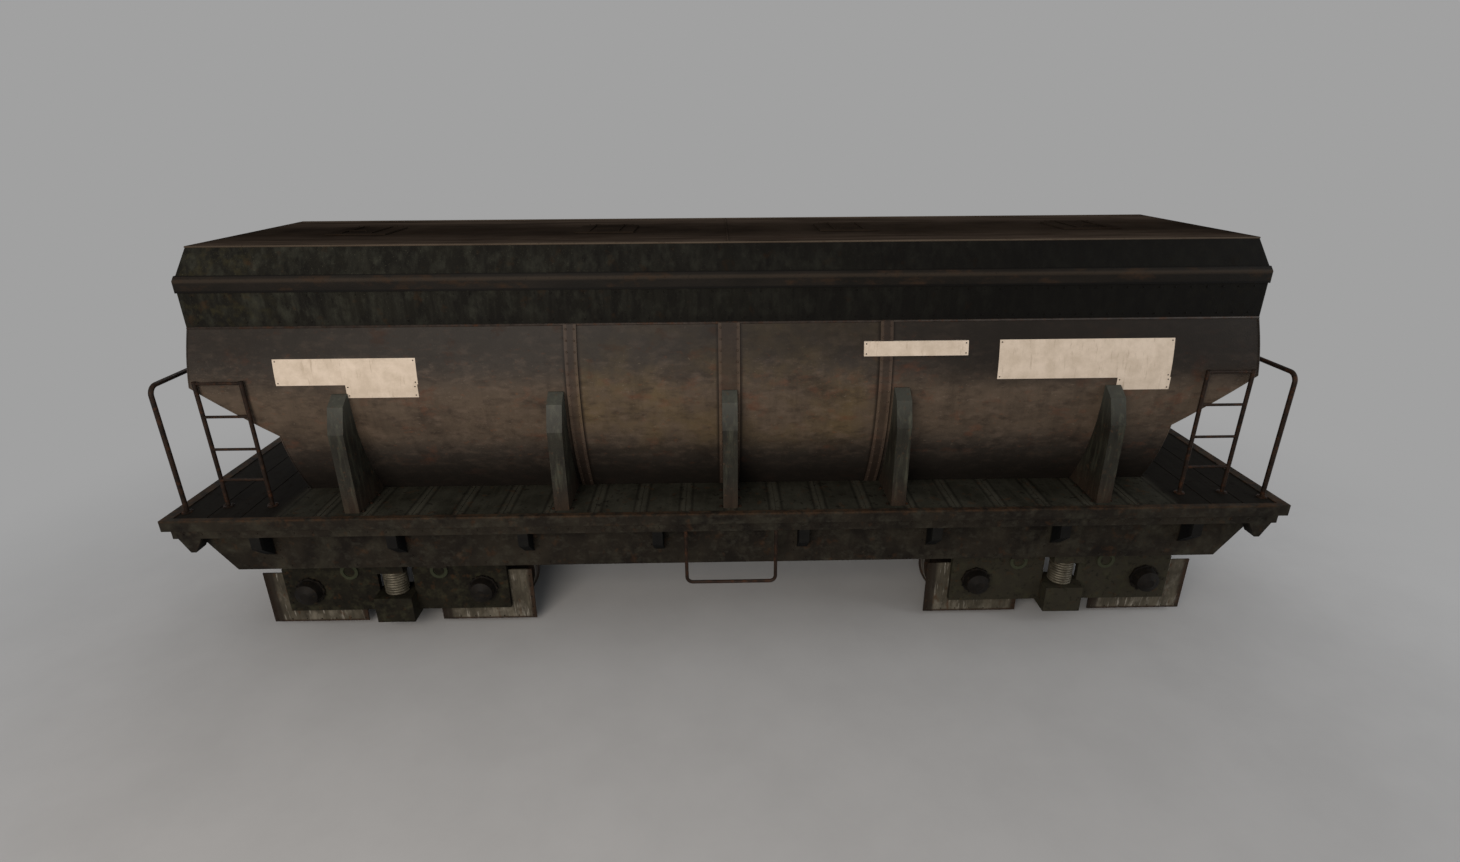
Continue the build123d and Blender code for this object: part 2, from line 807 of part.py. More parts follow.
# Curved body sides with their straps
body_height_middle = (deck_top + hood_bottom) / 2
for name, side in (("left", 1), ("right", -1)):
    with BuildPart() as body_side:
        with BuildSketch(Plane.YZ.offset(-knee_reach)):
            with BuildLine():
                ThreePointArc(
                    (side * belly_reach(deck_top, 0), deck_top),
                    (side * belly_reach(body_height_middle, 0), body_height_middle),
                    (side * belly_reach(hood_bottom, 0), hood_bottom),
                )
                Line(
                    (side * belly_reach(hood_bottom, 0), hood_bottom),
                    (side * belly_reach(hood_bottom, -sheet), hood_bottom),
                )
                ThreePointArc(
                    (side * belly_reach(hood_bottom, -sheet), hood_bottom),
                    (side * belly_reach(body_height_middle, -sheet), body_height_middle),
                    (side * belly_reach(deck_top, -sheet), deck_top),
                )
                Line(
                    (side * belly_reach(deck_top, -sheet), deck_top),
                    (side * belly_reach(deck_top, 0), deck_top),
                )
            make_face()
        extrude(amount=2 * knee_reach)
        with BuildSketch(Plane.XZ.offset(-side * belly_half)):
            with BuildLine():
                Polyline(*closed_across(end_profile(sheet)), close=True)
            make_face()
        extrude(amount=belly_half, both=True, mode=Mode.INTERSECT)
        for place, width in strap_places:
            with BuildSketch(Plane.YZ.offset(place - width / 2)):
                with BuildLine():
                    ThreePointArc(
                        (side * belly_reach(deck_top, strap_proud), deck_top),
                        (side * belly_reach(body_height_middle, strap_proud), body_height_middle),
                        (side * belly_reach(hood_bottom, strap_proud), hood_bottom),
                    )
                    Line(
                        (side * belly_reach(hood_bottom, strap_proud), hood_bottom),
                        (side * belly_reach(hood_bottom, 0), hood_bottom),
                    )
                    ThreePointArc(
                        (side * belly_reach(hood_bottom, 0), hood_bottom),
                        (side * belly_reach(body_height_middle, 0), body_height_middle),
                        (side * belly_reach(deck_top, 0), deck_top),
                    )
                    Line(
                        (side * belly_reach(deck_top, 0), deck_top),
                        (side * belly_reach(deck_top, strap_proud), deck_top),
                    )
                make_face()
            extrude(amount=width)
    body_side.part.label = f"body_side_{name}"
    export_step(body_side.part, f"parts/body_side_{name}.step")

# Folded end walls: upright, slope and upright foot
for name, side in bogies:
    with BuildPart() as body_end_wall:
        with BuildSketch(Plane.XZ):
            with BuildLine():
                Polyline(
                    *[(side * x, z) for x, z in end_profile(0)],
                    *[(side * x, z) for x, z in reversed(end_profile(sheet))],
                    close=True,
                )
            make_face()
        extrude(amount=2 * belly_half, both=True)
        with BuildSketch(Plane.YZ):
            with BuildLine():
                ThreePointArc(
                    (belly_reach(deck_top, 0), deck_top),
                    (belly_reach(body_height_middle, 0), body_height_middle),
                    (belly_reach(hood_bottom, 0), hood_bottom),
                )
                Line((hood_half, hood_bottom), (-hood_half, hood_bottom))
                ThreePointArc(
                    (-belly_reach(hood_bottom, 0), hood_bottom),
                    (-belly_reach(body_height_middle, 0), body_height_middle),
                    (-belly_reach(deck_top, 0), deck_top),
                )
                Line((-foot_reach, deck_top), (foot_reach, deck_top))
            make_face()
        extrude(amount=knee_reach + cut_overrun, both=True, mode=Mode.INTERSECT)
    body_end_wall.part.label = f"body_end_{name}"
    export_step(body_end_wall.part, f"parts/body_end_{name}.step")

# Hood walls, roof and waist strips
hood_across = hood_profile(hood_half, roof_half_width, 0)
hood_across_inner = hood_profile(hood_half, roof_half_width, sheet)
hood_along = hood_profile(body_end, roof_half_length, 0)
hood_along_inner = hood_profile(body_end, roof_half_length, sheet)

with BuildPart() as hood_sides:
    with BuildSketch(Plane.YZ):
        with BuildLine():
            Polyline(*hood_across, *reversed(hood_across_inner), close=True)
        make_face()
    extrude(amount=body_end, both=True)
    with BuildSketch(Plane.XZ):
        with BuildLine():
            Polyline(*closed_across(hood_along_inner), close=True)
        make_face()
    extrude(amount=hood_half + cut_overrun, both=True, mode=Mode.INTERSECT)
    mirror(about=Plane.XZ)
hood_sides.part.label = "hood_sides"
export_step(hood_sides.part, "parts/hood_sides.step")

with BuildPart() as hood_ends:
    with BuildSketch(Plane.XZ):
        with BuildLine():
            Polyline(*hood_along, *reversed(hood_along_inner), close=True)
        make_face()
    extrude(amount=hood_half, both=True)
    with BuildSketch(Plane.YZ):
        with BuildLine():
            Polyline(*closed_across(hood_across), close=True)
        make_face()
    extrude(amount=body_end + cut_overrun, both=True, mode=Mode.INTERSECT)
    mirror(about=Plane.YZ)
hood_ends.part.label = "hood_ends"
export_step(hood_ends.part, "parts/hood_ends.step")

hinge_height = roof_top + hinge_rise
with BuildPart() as roof:
    with BuildSketch(Plane.XY.offset(roof_top - sheet)):
        Rectangle(2 * body_end, 2 * hood_half)
    extrude(amount=sheet)
    with BuildSketch(Plane.YZ):
        with BuildLine():
            Polyline(*closed_across(hood_across_inner), close=True)
        make_face()
    extrude(amount=body_end, both=True, mode=Mode.INTERSECT)
    with BuildSketch(Plane.XZ):
        with BuildLine():
            Polyline(*closed_across(hood_along_inner), close=True)
        make_face()
    extrude(amount=hood_half, both=True, mode=Mode.INTERSECT)
    with BuildSketch(Plane.XY.offset(roof_top)):
        with Locations(*[(place, 0) for place in hatch_places]):
            Rectangle(2 * (hatch_half + coaming_width), 2 * (hatch_half + coaming_width))
    extrude(amount=coaming_height)
    with BuildSketch(Plane.XY.offset(roof_top - sheet)):
        with Locations(*[(place, 0) for place in hatch_places]):
            Rectangle(2 * hatch_half, 2 * hatch_half)
    extrude(amount=sheet + coaming_height, mode=Mode.SUBTRACT)
    for place in hatch_places:
        with BuildSketch(Plane.YZ.offset(place - hinge_lug_place)):
            with Locations((hinge_reach, hinge_height)):
                Circle(hinge_pin_radius)
        extrude(amount=2 * hinge_lug_place)
        for lug in (-hinge_lug_place, hinge_lug_place):
            with BuildSketch(Plane.YZ.offset(place + lug - hinge_lug_width / 2)):
                with Locations((hinge_reach, hinge_height)):
                    Circle(hinge_eye_radius)
                with Locations((hinge_reach, roof_top + hinge_rise / 2)):
                    Rectangle(2 * hinge_eye_radius, hinge_rise)
            extrude(amount=hinge_lug_width)
roof.part.label = "roof"
export_step(roof.part, "parts/roof.step")

lid_bottom = roof_top + coaming_height + seat_gap
for number, place in enumerate(hatch_places, 1):
    with BuildPart() as lid:
        with BuildSketch(Plane.XY.offset(lid_bottom)):
            with Locations((place, 0)):
                Rectangle(2 * lid_half, 2 * lid_half)
        extrude(amount=lid_thickness)
        with BuildSketch(Plane.XY.offset(lid_bottom)):
            with Locations((place, 0)):
                Rectangle(2 * lid_half, 2 * lid_half)
                Rectangle(2 * (lid_half - lid_skirt), 2 * (lid_half - lid_skirt), mode=Mode.SUBTRACT)
        extrude(amount=-lid_skirt)
        for eye in (-hinge_eye_place, hinge_eye_place):
            with BuildSketch(Plane.YZ.offset(place + eye - hinge_eye_width / 2)):
                with Locations((hinge_reach, hinge_height)):
                    Circle(hinge_eye_radius)
                with Locations(((lid_half + hinge_reach) / 2, lid_bottom + lid_thickness / 2)):
                    Rectangle(hinge_reach - lid_half, lid_thickness)
                with Locations((hinge_reach, hinge_height)):
                    Circle(hinge_pin_radius + running_gap, mode=Mode.SUBTRACT)
            extrude(amount=hinge_eye_width)
    lid.part.label = f"hatch_lid_{number}"
    export_step(lid.part, f"parts/hatch_lid_{number}.step")


def waist_outline(profile):
    """Closed outline of the hood with the waist strip standing proud of it."""
    half = profile[0][0]
    roof_half = profile[2][0]
    rate = (half - roof_half) / (roof_top - waist_height)
    upper = waist_height + waist_above
    return [
        (half, waist_height - waist_below),
        (half + waist_proud, waist_height - waist_below),
        (half + waist_proud, waist_height),
        (half - rate * waist_above + waist_proud, upper),
        (half - rate * waist_above, upper),
    ]


with BuildPart() as hood_core:
    with BuildSketch(Plane.YZ):
        with BuildLine():
            Polyline(*closed_across(hood_across), close=True)
        make_face()
    extrude(amount=body_end, both=True)
    with BuildSketch(Plane.XZ):
        with BuildLine():
            Polyline(*closed_across(hood_along), close=True)
        make_face()
    extrude(amount=hood_half, both=True, mode=Mode.INTERSECT)

strip_split = body_end - waist_return
strip_height = waist_above + waist_below
for name in ("side", "end"):
    with BuildPart() as waist_strips:
        with BuildSketch(Plane.YZ):
            with BuildLine():
                Polyline(*closed_across(waist_outline(hood_across)), close=True)
            make_face()
        extrude(amount=body_end + waist_proud, both=True)
        with BuildSketch(Plane.XZ):
            with BuildLine():
                Polyline(*closed_across(waist_outline(hood_along)), close=True)
            make_face()
        extrude(amount=hood_half + waist_proud, both=True, mode=Mode.INTERSECT)
        add(hood_core.part, mode=Mode.SUBTRACT)
        with BuildSketch(Plane.XY.offset(waist_height - waist_below)):
            Rectangle(2 * strip_split, 2 * (hood_half + waist_proud))
        extrude(amount=strip_height, mode=Mode.INTERSECT if name == "side" else Mode.SUBTRACT)
    waist_strips.part.label = f"waist_strips_{name}"
    export_step(waist_strips.part, f"parts/waist_strips_{name}.step")

# Saddles: brackets between the deck and the curved side
for name, side in (("left", 1), ("right", -1)):
    with BuildPart() as saddles:
        for place in saddle_places:
            proud = strap_proud if place == 0 else 0
            middle = (deck_top + belly_height) / 2
            with BuildSketch(Plane.YZ.offset(place - saddle_width / 2)):
                with BuildLine():
                    Polyline(
                        (side * belly_reach(deck_top, proud), deck_top),
                        (side * saddle_reach, deck_top),
                        (side * saddle_reach, saddle_shoulder),
                        (side * (saddle_reach - saddle_lean), saddle_brow),
                        (side * (belly_reach(belly_height, proud) + saddle_edge), belly_height),
                        (side * belly_reach(belly_height, proud), belly_height),
                    )
                    ThreePointArc(
                        (side * belly_reach(belly_height, proud), belly_height),
                        (side * belly_reach(middle, proud), middle),
                        (side * belly_reach(deck_top, proud), deck_top),
                    )
                make_face()
            extrude(amount=saddle_width)
        with BuildSketch(Plane.XZ):
            for place in saddle_places:
                with BuildLine():
                    Polyline(
                        (place - saddle_width / 2, deck_top),
                        (place + saddle_width / 2, deck_top),
                        (place + saddle_width / 2, saddle_brow),
                        (place + saddle_width / 2 - saddle_corner, belly_height),
                        (place - saddle_width / 2 + saddle_corner, belly_height),
                        (place - saddle_width / 2, saddle_brow),
                        close=True,
                    )
                make_face()
        extrude(amount=rim_reach, both=True, mode=Mode.INTERSECT)
    saddles.part.label = f"saddles_{name}"
    export_step(saddles.part, f"parts/saddles_{name}.step")

# Ladders on the end decks
ladder_middle = (ladder_inner + ladder_outer) / 2
ladder_rise = ladder_top - deck_top
ladder_rungs = [deck_top + share * ladder_rise for share in ladder_rung_shares]
with BuildPart() as ladders:
    with BuildSketch(Plane.XY.offset(deck_top)):
        with Locations((ladder_inner, ladder_reach), (ladder_outer, ladder_reach)):
            Circle(ladder_stile_radius)
    extrude(amount=ladder_top + ladder_stile_radius - deck_top)
    with BuildSketch(Plane.YZ.offset(ladder_inner)):
        with Locations((ladder_reach, ladder_top)):
            Circle(ladder_rung_radius)
        with Locations(*[(ladder_reach, rung) for rung in ladder_rungs]):
            Circle(ladder_rung_radius)
    extrude(amount=ladder_width)
    mirror(about=Plane.XZ)
    mirror(about=Plane.YZ)
ladders.part.label = "ladders"
export_step(ladders.part, "parts/ladders.step")

# End hoops: bent tubes across the car
with BuildPart() as end_hoops:
    with BuildLine(Plane.YZ.offset(hoop_place)) as hoop_line:
        FilletPolyline(
            (-hoop_reach, deck_top),
            (-hoop_reach, hoop_top),
            (hoop_reach, hoop_top),
            (hoop_reach, deck_top),
            radius=hoop_bend,
        )
    with BuildSketch(Plane(origin=(hoop_place, -hoop_reach, deck_top))):
        Circle(hoop_radius)
    sweep(path=hoop_line.line)
    mirror(about=Plane.YZ)
end_hoops.part.label = "end_hoops"
export_step(end_hoops.part, "parts/end_hoops.step")

# Stirrup steps under the middle of each side
with BuildPart() as stirrups:
    with BuildLine(Plane.XZ.offset(-stirrup_reach)) as stirrup_line:
        FilletPolyline(
            (-stirrup_half, rim_bottom),
            (-stirrup_half, stirrup_bottom),
            (stirrup_half, stirrup_bottom),
            (stirrup_half, rim_bottom),
            radius=stirrup_bend,
        )
    with BuildSketch(Plane(origin=(-stirrup_half, stirrup_reach, rim_bottom))):
        Circle(stirrup_radius)
    sweep(path=stirrup_line.line)
    mirror(about=Plane.XZ)
stirrups.part.label = "stirrups"
export_step(stirrups.part, "parts/stirrups.step")

# Slope floors inside the body, down to the trough
floor_outer = body_foot - sheet
floor_fall = (slope_bottom - trough_bottom) / (floor_outer - funnel_outer)
floor_rise = sheet * sqrt(1 + floor_fall**2)
trough_half = foot_inner
trough_top_half = funnel_outer + (deck_top - trough_bottom) / floor_fall
for name, side in bogies:
    with BuildPart() as slope_floor:
        with BuildSketch(Plane.XZ):
            with BuildLine():
                Polyline(
                    (side * floor_outer, slope_bottom),
                    (side * floor_outer, slope_bottom - floor_rise),
                    (side * funnel_outer, trough_bottom - floor_rise),
                    (side * funnel_outer, trough_bottom),
                    close=True,
                )
            make_face()
        extrude(amount=belly_half, both=True)
        with BuildSketch(Plane.YZ):
            with BuildLine():
                ThreePointArc(
                    (foot_inner, deck_top),
                    (belly_reach(body_height_middle, -sheet), body_height_middle),
                    (belly_reach(hood_bottom, -sheet), hood_bottom),
                )
                Line(
                    (belly_reach(hood_bottom, -sheet), hood_bottom),
                    (-belly_reach(hood_bottom, -sheet), hood_bottom),
                )
                ThreePointArc(
                    (-belly_reach(hood_bottom, -sheet), hood_bottom),
                    (-belly_reach(body_height_middle, -sheet), body_height_middle),
                    (-foot_inner, deck_top),
                )
                Polyline(
                    (-foot_inner, deck_top),
                    (-trough_half, trough_bottom - floor_rise),
                    (trough_half, trough_bottom - floor_rise),
                    (foot_inner, deck_top),
                )
            make_face()
        extrude(amount=body_end, both=True, mode=Mode.INTERSECT)
    slope_floor.part.label = f"slope_floor_{name}"
    export_step(slope_floor.part, f"parts/slope_floor_{name}.step")

with BuildPart() as trough_sides:
    with BuildSketch(Plane.XZ.offset(-trough_half)):
        with BuildLine():
            Polyline(
                (-trough_top_half, deck_top),
                (-funnel_outer, trough_bottom),
                (funnel_outer, trough_bottom),
                (trough_top_half, deck_top),
                close=True,
            )
        make_face()
    extrude(amount=sheet)
    mirror(about=Plane.XZ)
trough_sides.part.label = "trough_sides"
export_step(trough_sides.part, "parts/trough_sides.step")

# Funnels down to the outlets, with the rails that carry the gates
funnel_middle = (funnel_inner + funnel_outer) / 2
outlet_middle = funnel_middle
outlet_bottom = outlet_height - outlet_frame_depth
gate_top = outlet_height - outlet_frame_depth - seat_gap
gate_bottom = gate_top - gate_thickness
rail_bottom = gate_bottom - seat_gap - rail_lip
rail_end = outlet_half + rail_lip + gate_travel + rail_spare
with BuildPart() as funnels:
    with BuildSketch(Plane.XY.offset(trough_bottom)):
        with Locations((funnel_middle, 0)):
            Rectangle(funnel_outer - funnel_inner, 2 * trough_half)
    with BuildSketch(Plane.XY.offset(outlet_height)):
        with Locations((outlet_middle, 0)):
            Rectangle(outlet_length + 2 * sheet, 2 * (outlet_half + sheet))
    loft(ruled=True)
    with BuildSketch(Plane.XY.offset(trough_bottom)):
        with Locations((funnel_middle, 0)):
            Rectangle(funnel_outer - funnel_inner - 2 * sheet, 2 * (trough_half - sheet))
    with BuildSketch(Plane.XY.offset(outlet_height)):
        with Locations((outlet_middle, 0)):
            Rectangle(outlet_length, 2 * outlet_half)
    loft(ruled=True, mode=Mode.SUBTRACT)
    with BuildSketch(Plane.XY.offset(outlet_height)):
        with Locations((outlet_middle, 0)):
            Rectangle(outlet_length + 2 * rail_depth, 2 * (outlet_half + rail_lip))
            Rectangle(outlet_length, 2 * outlet_half, mode=Mode.SUBTRACT)
    extrude(amount=-outlet_frame_depth)
    for rail_side in (-1, 1):
        near = outlet_middle + rail_side * (outlet_length / 2)
        far = outlet_middle + rail_side * (outlet_length / 2 + rail_depth)
        web = far - rail_side * rail_wall
        with BuildSketch(Plane.XZ.offset(outlet_half + rail_lip)):
            with BuildLine():
                Polyline(
                    (far, outlet_height),
                    (far, rail_bottom),
                    (near, rail_bottom),
                    (near, rail_bottom + rail_lip),
                    (web, rail_bottom + rail_lip),
                    (web, outlet_bottom),
                    (near, outlet_bottom),
                    (near, outlet_height),
                    close=True,
                )
            make_face()
        extrude(amount=-(rail_end + outlet_half + rail_lip))
    mirror(about=Plane.YZ)
funnels.part.label = "funnels"
export_step(funnels.part, "parts/funnels.step")

gate_half_length = outlet_length / 2 + rail_depth - rail_wall - moving_gap
for name, side in bogies:
    gate_x = side * outlet_middle
    with BuildPart() as gate:
        with BuildSketch(Plane.XY.offset(gate_bottom)):
            with Locations((gate_x, 0)):
                Rectangle(2 * gate_half_length, 2 * (outlet_half + rail_lip))
        extrude(amount=gate_thickness)
        with BuildSketch(Plane.XZ.offset(outlet_half + rail_lip)):
            with Locations((gate_x, gate_top - gate_handle_height / 2)):
                Rectangle(2 * gate_half_length - 2 * rail_depth, gate_handle_height)
        extrude(amount=gate_handle_thickness)
    gate.part.label = f"slide_gate_{name}"
    export_step(gate.part, f"parts/slide_gate_{name}.step")

# Air reservoir hung under the middle bearer
with BuildPart() as reservoir:
    with BuildSketch(Plane.XZ):
        with Locations((0, reservoir_height)):
            Circle(reservoir_radius)
    extrude(amount=reservoir_half_length, both=True)
    for place in (-reservoir_strap_place, reservoir_strap_place):
        with BuildSketch(Plane.XZ.offset(place)):
            with Locations((0, reservoir_height)):
                Circle(reservoir_radius + reservoir_strap_thickness)
            with Locations((0, (reservoir_height + cross_bearer_bottom) / 2)):
                Rectangle(reservoir_strap_width, cross_bearer_bottom - reservoir_height)
        extrude(amount=reservoir_strap_width / 2, both=True)
reservoir.part.label = "air_reservoir"
export_step(reservoir.part, "parts/air_reservoir.step")
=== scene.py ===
import bmesh
import bpy
import json
from math import cos, pi, radians, sin, sqrt
from mathutils import Matrix, Vector


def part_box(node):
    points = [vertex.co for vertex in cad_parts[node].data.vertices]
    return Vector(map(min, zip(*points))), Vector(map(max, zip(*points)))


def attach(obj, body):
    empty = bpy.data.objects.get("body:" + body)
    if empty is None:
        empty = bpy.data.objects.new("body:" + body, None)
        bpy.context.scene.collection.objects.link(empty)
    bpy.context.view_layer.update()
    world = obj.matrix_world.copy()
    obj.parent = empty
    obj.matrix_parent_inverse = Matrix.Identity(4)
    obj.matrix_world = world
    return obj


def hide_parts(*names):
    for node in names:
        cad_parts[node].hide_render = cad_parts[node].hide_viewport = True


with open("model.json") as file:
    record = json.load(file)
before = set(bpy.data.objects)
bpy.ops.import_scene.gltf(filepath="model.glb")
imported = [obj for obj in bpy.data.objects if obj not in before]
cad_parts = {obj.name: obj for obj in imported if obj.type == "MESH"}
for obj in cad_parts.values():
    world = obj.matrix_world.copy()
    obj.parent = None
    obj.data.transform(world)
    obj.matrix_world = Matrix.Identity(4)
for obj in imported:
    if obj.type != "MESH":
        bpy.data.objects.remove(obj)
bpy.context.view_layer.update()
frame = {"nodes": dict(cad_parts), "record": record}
nodes = frame["nodes"]

# Places and sizes in metres, read from the frame where it holds them
deck_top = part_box("deck_sides")[1].z
lip_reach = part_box("side_rims")[1].y
lip_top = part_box("side_rims")[1].z
fascia_depth = 0.210
fascia_bottom = lip_top - fascia_depth
body_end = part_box("hood_sides")[1].x
knee_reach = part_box("body_end_front")[1].x
body_foot = 4.420
hood_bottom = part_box("hood_sides")[0].z
roof_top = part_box("hood_sides")[1].z
roof_half = 1.050
roof_end = 4.960
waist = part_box("waist_strips_side")
strap_proud = 0.015
belly_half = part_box("body_side_left")[1].y - strap_proud
belly_height = 2.748
belly_radius = 2.050
slope_top = 2.828
slope_bottom = 2.308
pivot = 3.594
half_wheelbase = 0.925
axle_height = 0.503
boss_offset = 0.475
boss_height = 0.725
sill_face = 1.400
plate_pitch = 0.447
straps = ((-1.500, 0.060), (0.0, 0.1025), (1.500, 0.060))
sill_bottom = 0.908
outrigger_places = (-4.68, -3.35, -2.06, -0.73, 0.73, 2.06, 3.35, 4.68)
saddle_places = (-3.726, -1.667, 0.0, 1.667, 3.726)
hatch_places = (-3.750, -1.250, 1.250, 3.750)
both_sides = (-1, 1)


def belly_reach(height, proud=0.0):
    """How far the curved side stands from the car's middle at a height."""
    return belly_half - belly_radius + sqrt((belly_radius + proud) ** 2 - (height - belly_height) ** 2)


def colour(code):
    """Linear colour from an sRGB hex code."""
    parts = [int(code[i : i + 2], 16) / 255 for i in (1, 3, 5)]
    return [p / 12.92 if p <= 0.04045 else ((p + 0.055) / 1.055) ** 2.4 for p in parts] + [1.0]


def node(tree, kind, settings=None, links=None):
    """Adds one node. Settings are its properties or socket values, and links or numbers feed its sockets."""
    made = tree.nodes.new(kind)
    for name, value in (settings or {}).items():
        if isinstance(name, str) and hasattr(made, name):
            setattr(made, name, value)
        else:
            made.inputs[name].default_value = value
    for name, source in (links or {}).items():
        if isinstance(source, bpy.types.NodeSocket):
            tree.links.new(source, made.inputs[name])
        else:
            made.inputs[name].default_value = source
    return made


def share_of(tree, value, share):
    """A value times its share. Either may be a mask."""
    return node(tree, "ShaderNodeMath", {"operation": "MULTIPLY"}, {0: value, 1: share}).outputs[0]


# The finishes

# Millimetres in a metre, and about how many of its finest grains lie across one cell of a noise
millimetres = 1000.0
grains_in_noise = 12


class Finish:
    """A material being built: its tree, its place on the object and its colour so far."""

    def __init__(self, name, base, second, across=700, stretch=(1, 1, 1)):
        self.material = bpy.data.materials.new(name)
        self.material.use_nodes = True
        self.tree = self.material.node_tree
        self.tree.nodes.clear()
        self.place = node(self.tree, "ShaderNodeTexCoord").outputs["Object"]
        split = node(self.tree, "ShaderNodeSeparateXYZ", {}, {"Vector": self.place})
        self.x, self.y, self.z = split.outputs[0], split.outputs[1], split.outputs[2]
        self.tint = colour(base)
        self.rough = []
        self.lay(second, self.mottle(across, 0.36, 0.64, stretch))

    def mottle(self, across, low, high, stretch=(1, 1, 1), shift=(0, 0, 0)):
        """A mask of patches about across millimetres wide: none below low, full above high."""
        moved = {"Scale": stretch, "Location": shift}
        put = node(self.tree, "ShaderNodeMapping", moved, {"Vector": self.place})
        cloud = {"Scale": millimetres / across, "Detail": 6.0, "Roughness": 0.62}
        noise = node(self.tree, "ShaderNodeTexNoise", cloud, {"Vector": put.outputs[0]})
        span = {"From Min": low, "From Max": high}
        return node(self.tree, "ShaderNodeMapRange", span, {"Value": noise.outputs["Fac"]}).outputs[0]

    def step(self, value, start, end):
        """A mask that goes smoothly from 0 at start to 1 at end, where start may be the larger."""
        first, last = (0.0, 1.0) if start < end else (1.0, 0.0)
        span = {"interpolation_type": "SMOOTHSTEP", "From Min": min(start, end), "From Max": max(start, end)}
        span.update({"To Min": first, "To Max": last})
        return node(self.tree, "ShaderNodeMapRange", span, {"Value": value}).outputs[0]

    def both(self, first, second):
        """The mask where two masks meet."""
        return share_of(self.tree, first, second)

    def away(self, value, middle=0.0):
        """How far a value is from a middle, either way."""
        gap = node(self.tree, "ShaderNodeMath", {"operation": "SUBTRACT"}, {0: value, 1: middle})
        return node(self.tree, "ShaderNodeMath", {"operation": "ABSOLUTE"}, {0: gap.outputs[0]}).outputs[0]

    def away_from_round(self, offset, height):
        """How far a point is, seen from the side, from the middle of a round form on its bogie."""
        along = self.away(self.away(self.away(self.x), pivot), offset)
        up = self.away(self.z, height)
        squares = {0: share_of(self.tree, along, along), 1: share_of(self.tree, up, up)}
        square = node(self.tree, "ShaderNodeMath", {"operation": "ADD"}, squares)
        return node(self.tree, "ShaderNodeMath", {"operation": "SQRT"}, {0: square.outputs[0]}).outputs[0]

    def lay(self, code, mask, share=1.0, rougher=0.0):
        """Lays one more colour on where the mask says, and makes the surface rougher there."""
        links = {0: share_of(self.tree, mask, share), 6: self.tint, 7: colour(code)}
        self.tint = node(self.tree, "ShaderNodeMix", {"data_type": "RGBA"}, links).outputs[2]
        if rougher:
            self.rough.append((mask, rougher))
        return self

    def patch(self, code, across, low, high, share=1.0, stretch=(1, 1, 1), shift=(0, 0, 0), rougher=0.0):
        """Lays one more colour on in patches about across millimetres wide."""
        return self.lay(code, self.mottle(across, low, high, stretch, shift), share, rougher)

    def made(self, roughness, metallic=0.0, grain=1.4, depth=0.25, specular=0.14):
        """Ends the material, with a fine grain in millimetres as its bump."""
        rough = roughness
        for mask, more in self.rough:
            links = {0: mask, 1: more, 2: rough}
            rough = node(self.tree, "ShaderNodeMath", {"operation": "MULTIPLY_ADD"}, links).outputs[0]
        fine = {"Scale": millimetres / grain / grains_in_noise, "Detail": 4.0}
        grained = node(self.tree, "ShaderNodeTexNoise", fine, {"Vector": self.place})
        relief = {"Strength": depth, "Distance": 0.004}
        bump = node(self.tree, "ShaderNodeBump", relief, {"Height": grained.outputs["Fac"]})
        shader = node(
            self.tree,
            "ShaderNodeBsdfPrincipled",
            {"Metallic": metallic, "Specular IOR Level": specular},
            {"Base Color": self.tint, "Roughness": rough, "Normal": bump.outputs[0]},
        )
        node(self.tree, "ShaderNodeOutputMaterial", {}, {"Surface": shader.outputs[0]})
        return self.material


upright = (1, 1, 0.14)
hanging = (1, 1, 0.12)
squat = (1, 1, 0.6)


def barrel_paint():
    """Brown paint on rolled steel sheet: a warm painted sheen across the belly, olive between the middle
    straps, soot and painted shade at its foot, painted shade along its top and at the upper +x end, flecked
    with rust and dirt.
    """
    f = Finish("weathered_brown_paint_on_rolled_sheet", "#38322d", "#2d2925", 800)
    # Painted sheen: a warm lighter band across the belly at mid-height.
    f.lay("#52463a", f.both(f.step(f.z, 3.05, 2.62), f.step(f.z, 2.02, 2.4)), 0.8)
    between = f.both(f.step(f.x, -1.52, -1.44), f.step(f.x, 1.52, 1.44))
    belly = f.both(between, f.step(f.z, 1.9, 2.45))
    f.lay("#57492f", f.both(belly, f.mottle(520, 0.4, 0.66)), 0.62)
    f.patch("#2a231e", 620, 0.5, 0.66, 0.5, (0.8, 1, 1.6), (2, 0, 7))
    f.patch("#63554a", 110, 0.5, 0.7, 0.38, (0.65, 1, 1.4), (4, 4, 1))
    f.patch("#1c1613", 100, 0.5, 0.7, 0.45, (0.65, 1, 1.4), (6, 1, 4))
    f.patch("#5a3828", 230, 0.57, 0.72, 0.48, (0.8, 1, 1.3), rougher=0.16)
    f.patch("#63402c", 50, 0.62, 0.72, 0.45, (0.7, 1, 1.4), (3, 1, 2), rougher=0.1)
    f.lay("#191410", f.mottle(110, 0.5, 0.74, upright), 0.3)
    f.patch("#756a5d", 22, 0.62, 0.72, 0.35, (0.6, 1, 1.2), (9, 2, 0))
    # Darker toward the foot: soot, and painted shade where the side curves in under the belly.
    f.lay("#14110e", f.step(f.z, 2.3, 1.7), 0.88, 0.2)
    # Painted shade on the upper part toward the +x end.
    f.lay("#15110e", f.both(f.step(f.x, 1.0, 2.8), f.step(f.z, 2.68, 2.95)), 0.66)
    # Painted shade along the top, under the hood.
    f.lay("#1b1713", f.step(f.z, 2.86, 3.24), 0.66)
    f.patch("#0d0b09", 16, 0.64, 0.72, 0.55)
    for middle, half in straps:
        away = f.away(f.x, middle)
        shade = f.both(f.step(away, half + 0.036, half + 0.006), f.step(away, half - 0.001, half))
        f.lay("#16110d", shade, 0.75)
        f.lay("#2b211b", f.step(away, half - 0.012, half - 0.030), 0.5)
        rubbed = f.both(f.step(away, half - 0.036, half - 0.022), f.step(away, half + 0.002, half))
        f.lay("#5c4b3f", rubbed, 0.26)
    return f.made(0.5, grain=1.2, depth=0.22)


